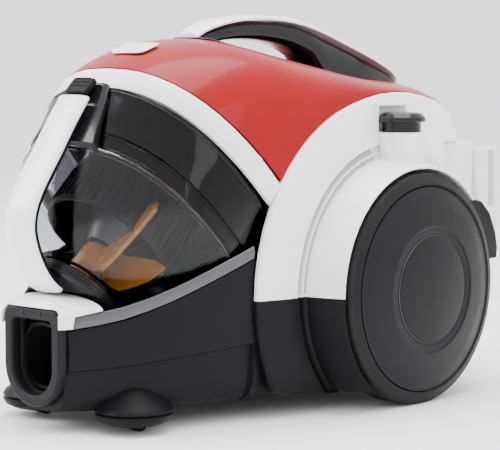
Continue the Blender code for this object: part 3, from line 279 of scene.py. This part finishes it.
def new_piece(name, bm, body, slot, sharp=SHARP_ANGLE):
    """Turns a finished bmesh into a piece of the object."""
    mesh = bpy.data.meshes.new(name)
    bmesh.ops.recalc_face_normals(bm, faces=bm.faces)
    bm.to_mesh(mesh)
    bm.free()
    piece = bpy.data.objects.new(name, mesh)
    bpy.context.scene.collection.objects.link(piece)
    return settle(piece, body, slot, sharp)


def rounded(node, width):
    """A CAD node with its hard edges broken by a bevel of a small width, in millimetres."""
    bm = bmesh.new()
    bm.from_mesh(frame["nodes"][node].data)
    bmesh.ops.remove_doubles(bm, verts=bm.verts, dist=WELD)
    bmesh.ops.dissolve_degenerate(bm, dist=SMALLEST_EDGE, edges=bm.edges)
    bmesh.ops.dissolve_limit(bm, angle_limit=radians(FLAT_ANGLE), verts=bm.verts, edges=bm.edges)
    hard = [e for e in bm.edges if len(e.link_faces) == 2 and e.calc_face_angle(0.0) > radians(HARD_ANGLE)]
    bmesh.ops.bevel(
        bm, geom=hard, offset=width * MM, segments=2, profile=0.5, affect="EDGES", clamp_overlap=True,
    )
    piece = new_piece(node + "_shell", bm, BODY_OF[node], SLOT_OF[node])
    normals = piece.modifiers.new("even_normals", "WEIGHTED_NORMAL")
    normals.keep_sharp = True
    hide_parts(node)


def revolve(name, profile, centre, axis, body, slot, steps):
    """A closed profile of (radius, along) pairs in millimetres, turned about an axis through centre."""
    turn = Vector((0, 0, 1)).rotation_difference(Vector(axis)).to_matrix()
    bm = bmesh.new()
    rings = []
    for k in range(steps):
        a = 2 * pi * k / steps
        rings.append([turn @ Vector((r * cos(a), r * sin(a), h)) * MM + Vector(centre) for r, h in profile])
    grid = [[bm.verts.new(p) for p in ring] for ring in rings]
    count = len(profile)
    for k in range(steps):
        near, far = grid[k], grid[(k + 1) % steps]
        for i in range(count):
            j = (i + 1) % count
            bm.faces.new((near[i], near[j], far[j], far[i]))
    bmesh.ops.remove_doubles(bm, verts=bm.verts, dist=SMALLEST_TURNED_EDGE)
    bmesh.ops.dissolve_degenerate(bm, dist=SMALLEST_TURNED_EDGE, edges=bm.edges)
    return new_piece(name, bm, body, slot, TURNED_SHARP_ANGLE)


def tube(name, points, radius, body, slot, closed=False, sides=10):
    """A thin round bar along points in metres; its radius is in millimetres."""
    bm = bmesh.new()
    count = len(points)
    rings = []
    up = Vector((0.31, 0.17, 0.93)).normalized()
    for i, p in enumerate(points):
        before = points[(i - 1) % count] if closed or i else points[0]
        after = points[(i + 1) % count] if closed or i < count - 1 else points[-1]
        run = (after - before).normalized()
        side = run.cross(up).normalized()
        lift = side.cross(run)
        ring = []
        for k in range(sides):
            a = 2 * pi * k / sides
            ring.append(bm.verts.new(p + radius * MM * (side * cos(a) + lift * sin(a))))
        rings.append(ring)
    spans = count if closed else count - 1
    for i in range(spans):
        near, far = rings[i], rings[(i + 1) % count]
        for k in range(sides):
            m = (k + 1) % sides
            bm.faces.new((near[k], near[m], far[m], far[k]))
    if not closed:
        bm.faces.new(list(reversed(rings[0])))
        bm.faces.new(rings[-1])
    return new_piece(name, bm, body, slot)


def sliced(node, point, normal):
    """The longest closed outline where a plane cuts a CAD node, as points in order."""
    bm = bmesh.new()
    bm.from_mesh(frame["nodes"][node].data)
    bmesh.ops.remove_doubles(bm, verts=bm.verts, dist=WELD)
    everything = bm.verts[:] + bm.edges[:] + bm.faces[:]
    cut = bmesh.ops.bisect_plane(bm, geom=everything, plane_co=point, plane_no=normal, dist=CUT_TOLERANCE)
    edges = dict.fromkeys(g for g in cut["geom_cut"] if isinstance(g, bmesh.types.BMEdge))
    loops = []
    while edges:
        first = next(iter(edges))
        del edges[first]
        loop = [first.verts[0], first.verts[1]]
        while True:
            found = next((e for e in loop[-1].link_edges if e in edges), None)
            if found is None:
                break
            del edges[found]
            loop.append(found.other_vert(loop[-1]))
        loops.append([v.co.copy() for v in loop])
    bm.free()
    longest = max(loops, key=lambda l: sum((b - a).length for a, b in zip(l, l[1:])))
    if (longest[0] - longest[-1]).length < SAME_POINT:
        longest.pop()
    return longest


def between(p, q, r, s, f):
    """The value a fraction f of the way from q to r on a smooth curve through p, q, r and s."""
    square = (2 * p - 5 * q + 4 * r - s) * f**2
    cube = (3 * q - p - 3 * r + s) * f**3
    return 0.5 * (2 * q + (r - p) * f + square + cube)


def smooth_line(points, count):
    """Count points along a smooth open curve through the given ones."""
    ends = [points[0], *points, points[-1]]
    spans = len(points) - 1
    line = []
    for k in range(count):
        t = k / (count - 1) * spans
        i = min(spans - 1, int(t))
        line.append(tuple(between(*values, t - i) for values in zip(*ends[i : i + 4])))
    return line


# ---------------------------------------------------------------- shells that keep their CAD shape

EDGE_WIDTHS = {
    "top_cover": 0.7,
    "front_band": 0.8,
    "nose_cover": 1.0,
    "side_panel_left": 0.9,
    "side_panel_right": 0.9,
    "side_skirt_left": 0.8,
    "side_skirt_right": 0.8,
    "case_trim_left": 0.7,
    "case_trim_right": 0.7,
    "lower_case": 0.8,
    "hose_inlet_ring": 1.0,
    "inlet_duct": 0.4,
    "carry_handle": 0.8,
    "handle_top_strip": 0.5,
    "handle_base_trim": 0.4,
    "label_plate": 0.3,
    "rear_housing": 0.8,
    "rear_cover": 0.5,
    "exhaust_grille": 0.5,
    "parking_bracket_left": 1.0,
    "parking_bracket_right": 1.0,
    "rear_foot_left": 1.2,
    "rear_foot_right": 1.2,
    "bin_cradle": 0.5,
    "bulkhead": 0.5,
    "bin_lid": 0.5,
    "bin_bowl": 0.5,
    "bin_handle": 0.9,
    "bin_handle_lining": 0.5,
    "handle_mount": 0.8,
    "latch_lever": 0.7,
    "cyclone_body": 0.5,
    "caster_dome_left": 0.5,
    "caster_dome_right": 0.5,
    "press_blade": 0.4,
    "fixed_plate": 0.4,
    "axle_plate_left": 0.5,
    "axle_plate_right": 0.5,
    "power_button": 0.6,
    "rewind_button": 0.6,
    "cord_outlet": 0.3,
    "cord_reel": 0.5,
    "motor": 0.5,
    "circuit_board": 0.2,
    "exhaust_filter": 0.4,
    "inlet_seal": 0.2,
    "bin_seal": 0.2,
    "port_seal": 0.2,
    "motor_mount": 0.3,
    "motor_filter": 0.5,
    "cyclone_cone": 0.4,
    "bin_base": 0.6,
}


def make_shells():
    for node, width in EDGE_WIDTHS.items():
        rounded(node, width)


# ---------------------------------------------------------------- wheels

# The wheels and the rollers turn about x. The sizes are in millimetres, GROOVES from the tyre's inner side.
AXLE = (1, 0, 0)
GROOVES = (7.0, 13.0, 19.0)
GROOVE_DEPTH = 0.9
SHOULDER = 3.2
DISC_BORE = 12.4
DISC_RECESS = (20.0, 73.0)
DISC_RECESS_DEPTH = 19.0


def make_wheel(tag, side):
    """Tyre tread, tyre sidewall, wheel face, hub disc and hub line; radii and distances in millimetres."""
    low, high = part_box("tyre_" + tag)
    centre = Vector((0, (low.y + high.y) / 2, (low.z + high.z) / 2))
    body = "rear_wheel_" + tag
    radius = (high.z - low.z) / 2 / MM
    inner = min(abs(low.x), abs(high.x)) / MM
    lip = max(abs(low.x), abs(high.x)) / MM
    disc_low, disc_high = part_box("wheel_disc_" + tag)
    band = (disc_high.z - disc_low.z) / 2 / MM
    crown = max(abs(disc_low.x), abs(disc_high.x)) / MM
    cap_low, cap_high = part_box("hub_cap_" + tag)
    cap = (cap_high.z - cap_low.z) / 2 / MM
    nose = max(abs(cap_low.x), abs(cap_high.x)) / MM

    def out(profile):
        return [(r, side * h) for r, h in profile]

    tread = []
    for start in GROOVES:
        groove = inner + start
        floor = radius - GROOVE_DEPTH
        tread += [
            (radius, groove - 0.9), (floor, groove - 0.5), (floor, groove + 0.5),
            (radius, groove + 0.9),
        ]
    shoulder = []
    for degrees in range(0, 91, 15):
        a = radians(degrees)
        shoulder.append((radius - SHOULDER + SHOULDER * cos(a), lip - 5.2 + 3.3 * sin(a)))
    tyre = [(band + 0.9, inner), (radius - 2.0, inner), (radius - 0.6, inner + 0.6), (radius, inner + 2.0)]
    tyre += tread + shoulder
    tyre += [(band + 4.2, lip - 1.4), (band + 3.2, lip - 0.5), (band + 2.0, lip)]
    tyre += [(band + 0.9, lip - 0.5), (band + 0.5, lip - 1.4)]
    revolve("tyre_tread_" + tag, out(tyre), centre, AXLE, body, "rubber", 128)
    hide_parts("tyre_" + tag)

    wall = [
        (band + 1.4, lip - 1.2), (band + 2.0, lip + 0.2), (band + 3.4, lip - 0.1),
        (band + 4.6, lip - 1.0),
    ]
    wall += [
        (radius - 3.2, lip - 1.5), (radius - 1.4, lip - 2.9), (radius - 1.4, lip - 4.4),
        (band + 2.0, lip - 3.0),
    ]
    revolve("tyre_sidewall_" + tag, out(wall), centre, AXLE, body, "wheel_grey", 128)

    dome = smooth_line(
        [(band - 4.0, lip + 0.9), (66.0, crown - 3.0), (56.0, crown - 1.2), (50.0, crown - 0.25)], 16,
    )
    back = inner + 2.0
    depth = inner + DISC_RECESS_DEPTH
    hollow_in, hollow_out = DISC_RECESS
    disc = [
        (DISC_BORE, back), (hollow_in, back), (hollow_in, depth), (hollow_out, depth),
        (hollow_out, back),
    ]
    disc += [(band - 0.5, back), (band, inner + 3.0), (band, lip - 1.2), (band - 0.3, lip - 0.2)]
    disc += [(band - 1.0, lip), (band - 2.6, lip + 0.3), (band - 3.3, lip + 0.55)]
    disc += dome
    disc += [
        (48.6, crown), (47.6, crown - 0.3), (46.9, crown - 0.9), (42.4, crown - 0.8),
        (cap + 0.9, crown - 1.0),
    ]
    disc += [(cap + 0.6, crown - 1.8), (cap + 0.6, crown - 6.0), (DISC_BORE, crown - 6.0)]
    revolve("wheel_face_" + tag, out(disc), centre, AXLE, body, "wheel_grey", 160)
    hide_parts("wheel_disc_" + tag)

    hub = smooth_line(
        [(cap - 1.0, crown - 0.1), (30.0, crown + 1.3), (16.0, nose - 0.5), (5.0, nose - 0.05)], 14,
    )
    rim = [(ON_AXIS, crown - 5.4), (cap - 0.4, crown - 5.4), (cap, crown - 1.4), (cap - 0.2, crown - 0.6)]
    hub = rim + hub + [(ON_AXIS, nose)]
    revolve("hub_disc_" + tag, out(hub), centre, AXLE, body, "wheel_grey", 128)
    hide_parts("hub_cap_" + tag)
    ring = [
        (cap + 0.45, crown - 1.5), (cap + 0.45, crown - 0.5), (cap + 0.1, crown - 0.3),
        (cap + 0.1, crown - 1.5),
    ]
    revolve("hub_line_" + tag, out(ring), centre, AXLE, body, "silver", 128)


def make_caster_roller(tag):
    """A small roller with a groove round its middle and a ring-shaped recess in each end."""
    low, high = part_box("caster_roller_" + tag)
    centre = (low + high) / 2
    radius, half = (high.z - low.z) / 2 / MM, (high.x - low.x) / 2 / MM
    profile = [(ON_AXIS, -half), (radius * 0.35, -half), (radius * 0.4, -half + 0.6)]
    profile += [(radius - 1.6, -half + 0.6), (radius - 1.0, -half)]
    profile += [
        (radius, -half + 1.2), (radius, -1.0), (radius - 0.5, -0.5), (radius - 0.5, 0.5), (radius, 1.0),
    ]
    profile += [
        (radius, half - 1.2), (radius - 1.0, half), (radius - 1.6, half - 0.6),
        (radius * 0.4, half - 0.6),
    ]
    profile += [(radius * 0.35, half), (ON_AXIS, half)]
    roller = revolve("roller_tyre_" + tag, profile, centre, AXLE, "caster_roller_" + tag, "rubber", 48)
    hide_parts("caster_roller_" + tag)


# ---------------------------------------------------------------- dust bin

BIN_ALONG = Vector(JOINT["blade_turn"]["axis"]).normalized()
BIN_UP = Vector(JOINT["bin_lift"]["axis"]).normalized()
BLADE_START = 115.0
BIN_ORIGIN = Vector(JOINT["blade_turn"]["pos_m"]) - BIN_ALONG * BLADE_START * MM


def bin_point(x, up, along):
    """A point in the frame from millimetres across, up and along the tilted bin."""
    return BIN_ORIGIN + Vector((x, 0, 0)) * MM + BIN_UP * up * MM + BIN_ALONG * along * MM


def along_range(node):
    """Where a CAD node starts and ends along the bin, in millimetres."""
    values = [(v.co - BIN_ORIGIN).dot(BIN_ALONG) / MM for v in frame["nodes"][node].data.vertices]
    return min(values), max(values)


def make_bin_lines():
    """Thin beads round the lid and round the bowl beside it."""
    start, edge = along_range("bin_lid")
    for name, node, along, radius, slot in (
        ("lid_edge_bead", "bin_lid", edge - 1.0, 0.55, "smoke"),
        ("lid_step_bead", "bin_lid", edge - 9.5, 0.45, "smoke"),
        ("lid_back_bead", "bin_lid", start + 4.0, 0.5, "black"),
        ("bowl_edge_bead", "bin_bowl", edge + 2.2, 0.5, "clear"),
        ("bowl_lower_bead", "bin_bowl", edge + 4.6, 0.35, "clear"),
    ):
        tube(name, sliced(node, bin_point(0, 0, along), BIN_ALONG), radius, "dust_bin", slot, closed=True)


# Millimetres: VANE_SECTION is (outwards, sideways), VANE_FROM_END is measured back from the body's end.
VANE_COUNT = 48
VANE_REACH = 50.4
VANE_SINK = 0.5
VANE_SECTION = ((0, -0.5), (0, 0.5), (1.3, 0.7), (1.3, -0.1))
VANE_FROM_END = (34.0, 4.0)


def make_cyclone_vanes():
    """Slender louvres round the cyclone body."""
    _, high = along_range("cyclone_body")
    ends = [high - reach for reach in VANE_FROM_END]
    bm = bmesh.new()
    for k in range(VANE_COUNT):
        a = 2 * pi * k / VANE_COUNT
        across, out = Vector((cos(a), sin(a))), Vector((-sin(a), cos(a)))
        corners = []
        for r, w in VANE_SECTION:
            spot = across * (VANE_REACH + r - VANE_SINK) + out * w
            corners.append([bm.verts.new(bin_point(spot.x, spot.y, along)) for along in ends])
        for i in range(4):
            a_pair, b_pair = corners[i], corners[(i + 1) % 4]
            bm.faces.new((a_pair[0], b_pair[0], b_pair[1], a_pair[1]))
        bm.faces.new([c[0] for c in corners])
        bm.faces.new([c[1] for c in reversed(corners)])
    new_piece("cyclone_louvres", bm, "dust_bin", "charcoal")


# ---------------------------------------------------------------- small fittings

# SCREW_SPOTS is in metres, the other sizes are in millimetres.
SCREW_RADIUS = 3.6
SCREW_SLOT = "motor_metal"
SCREW_SPOTS = (
    (-0.060, -0.10), (0.060, -0.10), (-0.062, 0.03), (0.062, 0.03), (-0.060, 0.165), (0.060, 0.165),
)
RECESS_DEPTH = 1.2


def screw(name, where, normal, body):
    """A low round screw head with a cross recess, partly sunk in its surface."""
    r = SCREW_RADIUS
    profile = [(ON_AXIS, -1.0), (r, -1.0), (r, 0.1), (r * 0.85, 0.5), (r * 0.5, 0.75), (ON_AXIS, 0.8)]
    head = revolve(name, profile, where, normal, body, SCREW_SLOT, 40)
    turn = Vector((0, 0, 1)).rotation_difference(Vector(normal)).to_matrix().to_4x4()
    bm = bmesh.new()
    seat = Matrix.Translation(where) @ turn @ Matrix.Translation((0, 0, RECESS_DEPTH / 2 * MM))
    for wide, deep in ((r * 1.1, r * 0.22), (r * 0.22, r * 1.1)):
        made = bmesh.ops.create_cube(bm, size=1.0)["verts"]
        slot_shape = Matrix.Diagonal((wide * MM, deep * MM, RECESS_DEPTH * MM, 1))
        bmesh.ops.transform(bm, matrix=seat @ slot_shape, verts=made)
    mesh = bpy.data.meshes.new(name + "_recess")
    bm.to_mesh(mesh)
    bm.free()
    tool = bpy.data.objects.new(name + "_recess", mesh)
    bpy.context.scene.collection.objects.link(tool)
    bpy.context.view_layer.update()
    cut = head.modifiers.new("recess", "BOOLEAN")
    cut.operation = "DIFFERENCE"
    cut.solver = "EXACT"
    cut.use_self = True
    cut.object = tool
    evaluated = head.evaluated_get(bpy.context.evaluated_depsgraph_get())
    finished = bpy.data.meshes.new_from_object(evaluated)
    head.modifiers.clear()
    head.data = finished
    head.data.materials.clear()
    head.data.materials.append(LOOK[SCREW_SLOT])
    bpy.data.objects.remove(tool)


def make_case_screws():
    """Screws in the underside of the case."""
    low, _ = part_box("lower_case")
    for k, (x, y) in enumerate(SCREW_SPOTS):
        screw("case_screw_%d" % (k + 1), Vector((x, y, low.z)), Vector((0, 0, -1)), "main_body")


def drape(node, points, towards):
    """Carries points along a direction until each meets a CAD node; points that miss it are left out."""
    mesh = frame["nodes"][node].data
    tree = BVHTree.FromPolygons([v.co for v in mesh.vertices], [p.vertices for p in mesh.polygons])
    hits = [tree.ray_cast(Vector(p), Vector(towards))[0] for p in points]
    return [h for h in hits if h is not None]


CORNER_STEPS = 6


def round_square(half, corner):
    """A square outline with round corners, (across, up) pairs in millimetres."""
    pairs = []
    for quarter in range(4):
        turn = quarter * pi / 2
        cx = (half - corner) * (1 if quarter in (0, 3) else -1)
        cy = (half - corner) * (1 if quarter in (0, 1) else -1)
        for k in range(CORNER_STEPS + 1):
            a = turn + pi / 2 * k / CORNER_STEPS
            pairs.append((cx + corner * cos(a), cy + corner * sin(a)))
    return pairs


# The table below is (name, radius about the axle, half thickness) in millimetres, one row for each grey tube of
# painted groove shade;
# the angles are in degrees, and OUTSIDE is a distance in metres that lies outside the case.
GROOVE_SHADE_BANDS = (("outer", 106.8, 2.1), ("inner", 101.3, 1.3))
LINE_START = 1.5
LINE_SWEEP = 76.0
LINE_STEPS = 48
OUTSIDE = 0.25


def make_panel_lines():
    """Two grey tubes along each side panel, concentric with the wheel; their grey is painted shade for the
    shadowed floor of a groove in the panel.
    """
    for tag, side in SIDES:
        axle = Vector(JOINT["wheel_spin_" + tag]["pos_m"])
        for name, radius, thick in GROOVE_SHADE_BANDS:
            start = []
            for k in range(LINE_STEPS + 1):
                a = radians(LINE_START + LINE_SWEEP * k / LINE_STEPS)
                start.append((side * OUTSIDE, axle.y - radius * MM * cos(a), axle.z + radius * MM * sin(a)))
            line = drape("side_panel_" + tag, start, (-side, 0, 0))
            # These tubes take the painted groove shade grey from PIECE_LOOK, not the silver slot named here.
            tube("panel_groove_shade_%s_%s" % (name, tag), line, thick, "main_body", "silver", sides=8)


# RIB_START and RIB_STEP are shares of the base's length, and RIB_RADIUS is in millimetres.
RIB_COUNT = 4
RIB_START = 0.2
RIB_STEP = 0.19
RIB_RADIUS = 0.55


def make_base_ribs():
    """Ribs round the base of the bin."""
    start, end = along_range("bin_base")
    body = BODY_OF["bin_base"]
    for k in range(RIB_COUNT):
        along = start + (end - start) * (RIB_START + RIB_STEP * k)
        outline = sliced("bin_base", bin_point(0, 0, along), BIN_ALONG)
        tube("base_rib_%d" % (k + 1), outline, RIB_RADIUS, body, "wheel_grey", closed=True, sides=8)


# RIDGE_START and RIDGE_STEP are shares of the lever's depth, RIDGE_MARGIN and RIDGE_RADIUS are in
# millimetres, and DROP_FROM is how far outside a piece a draped line starts, in metres.
RIDGE_COUNT = 3
RIDGE_START = 0.3
RIDGE_STEP = 0.2
RIDGE_MARGIN = 3.0
RIDGE_RADIUS = 0.5
DROP_FROM = 0.05


def make_latch_ridges():
    """Finger ridges across the latch lever."""
    low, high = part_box("latch_lever")
    half = (high.x - low.x) / 2 - RIDGE_MARGIN * MM
    slot = SLOT_OF["latch_lever"]
    for k in range(RIDGE_COUNT):
        y = low.y + (high.y - low.y) * (RIDGE_START + RIDGE_STEP * k)
        above = [(-half + 2 * half * i / 6, y, high.z + DROP_FROM) for i in range(7)]
        line = drape("latch_lever", above, (0, 0, -1))
        tube("latch_ridge_%d" % (k + 1), line, RIDGE_RADIUS, "latch_lever", slot, sides=8)


# Metres: the contacts' distance from the middle, and from the top of the ring.
CONTACT_X = 0.009
CONTACT_DROP = 0.0045


def make_inlet_contacts():
    """Two small contacts above the opening of the hose inlet."""
    low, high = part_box("hose_inlet_ring")
    profile = [
        (ON_AXIS, -0.6), (1.7, -0.6), (1.7, 0.35), (1.4, 0.6), (0.8, 0.6), (0.8, 0.1), (ON_AXIS, 0.1),
    ]
    for tag, side in SIDES:
        before = (side * CONTACT_X, low.y - DROP_FROM, high.z - CONTACT_DROP)
        spot = drape("hose_inlet_ring", [before], (0, 1, 0))[0]
        revolve("inlet_contact_" + tag, profile, spot, (0, -1, 0), "main_body", "black", 32)


# PLATE_HALF and PLATE_CORNER are in millimetres, the other sizes but PLATE_STRETCH are in metres.
PLATE_HALF = 18.0
PLATE_CORNER = 2.0
PLATE_STRETCH = 1.9
PLATE_Y = 0.095
PLATE_BELOW = 0.0005
PLATE_INSIDE = 0.0003


def make_rating_plate():
    """A blank plate under the case."""
    low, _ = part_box("lower_case")
    bm = bmesh.new()
    outline = round_square(PLATE_HALF, PLATE_CORNER)
    for z in (low.z - PLATE_BELOW, low.z + PLATE_INSIDE):
        bm.faces.new([bm.verts.new((x * PLATE_STRETCH * MM, PLATE_Y + y * MM, z)) for x, y in outline])
    bmesh.ops.bridge_loops(bm, edges=bm.edges[:])
    new_piece("rating_plate", bm, "main_body", "silver")


# ---------------------------------------------------------------- floor, light, camera

# Metres, degrees and, for the lens and the sensor, millimetres. SKY_FADE is the height at which the sky
# starts and stops getting brighter, on a scale that depends only on direction.
CAMERA_AT = (0.98955, -1.05705, 0.25985)
CAMERA_AZIMUTH = 42.550
CAMERA_PITCH = 4.973
CAMERA_LENS = 133.786
CAMERA_SENSOR = 36.0
SKY_LOW = 1.9
SKY_HIGH = 2.3
SKY_FADE = (0.05, 0.9)
FLOOR_SIZE = 6.0
# (name, place, aim, size, watts)
SOFTBOXES = (
    ("top_softbox", (0.1, 0.1, 1.5), (0, 0, 0.1), (1.2, 1.0), 34),
    ("front_softbox", (-1.1, -1.0, 1.0), (0, 0, 0.15), (0.8, 0.9), 26),
    ("side_softbox", (1.7, 0.5, 0.9), (0, 0, 0.12), (0.6, 0.9), 5),
)


def make_floor():
    bm = bmesh.new()
    bmesh.ops.create_grid(bm, x_segments=2, y_segments=2, size=FLOOR_SIZE)
    mesh = bpy.data.meshes.new("studio_floor")
    bm.to_mesh(mesh)
    bm.free()
    floor = bpy.data.objects.new("studio_floor", mesh)
    bpy.context.scene.collection.objects.link(floor)
    paper = moulded("studio_paper", (0.88, 0.88, 0.885), 0.8, vary=0.004)
    floor.data.materials.append(paper.material)


def make_light(name, where, towards, size, power):
    data = bpy.data.lights.new(name, "AREA")
    data.shape = "RECTANGLE"
    data.size, data.size_y = size
    data.energy = power
    light = bpy.data.objects.new(name, data)
    bpy.context.scene.collection.objects.link(light)
    light.location = where
    light.rotation_mode = "QUATERNION"
    light.rotation_quaternion = (Vector(towards) - Vector(where)).to_track_quat("-Z", "Y")


def make_world():
    """A white sky, a little brighter overhead than at the horizon."""
    world = bpy.data.worlds.new("studio_world")
    world.use_nodes = True
    nodes, links = world.node_tree.nodes, world.node_tree.links
    direction = nodes.new("ShaderNodeTexCoord")
    split = nodes.new("ShaderNodeSeparateXYZ")
    links.new(direction.outputs["Generated"], split.inputs["Vector"])
    height = nodes.new("ShaderNodeMapRange")
    height.interpolation_type = "SMOOTHSTEP"
    limits = (*SKY_FADE, SKY_LOW, SKY_HIGH)
    for key, value in zip(("From Min", "From Max", "To Min", "To Max"), limits):
        height.inputs[key].default_value = value
    links.new(split.outputs["Z"], height.inputs["Value"])
    nodes["Background"].inputs["Color"].default_value = (1.0, 1.0, 1.0, 1.0)
    links.new(height.outputs["Result"], nodes["Background"].inputs["Strength"])
    bpy.context.scene.world = world


def make_studio():
    make_world()
    make_floor()
    for row in SOFTBOXES:
        make_light(*row)


def make_camera():
    data = bpy.data.cameras.new("camera")
    data.lens = CAMERA_LENS
    data.sensor_width = CAMERA_SENSOR
    data.clip_start, data.clip_end = 0.05, 30.0
    camera = bpy.data.objects.new("camera", data)
    bpy.context.scene.collection.objects.link(camera)
    azimuth, pitch = radians(CAMERA_AZIMUTH), radians(CAMERA_PITCH)
    forward = Vector((-sin(azimuth) * cos(pitch), cos(azimuth) * cos(pitch), -sin(pitch)))
    camera.location = CAMERA_AT
    camera.rotation_mode = "QUATERNION"
    camera.rotation_quaternion = forward.to_track_quat("-Z", "Y")
    bpy.context.scene.camera = camera


make_camera()
make_studio()
make_shells()
for tag, side in SIDES:
    make_wheel(tag, side)
    make_caster_roller(tag)
make_bin_lines()
make_cyclone_vanes()
make_case_screws()
make_panel_lines()
make_base_ribs()
make_latch_ridges()
make_inlet_contacts()
make_rating_plate()
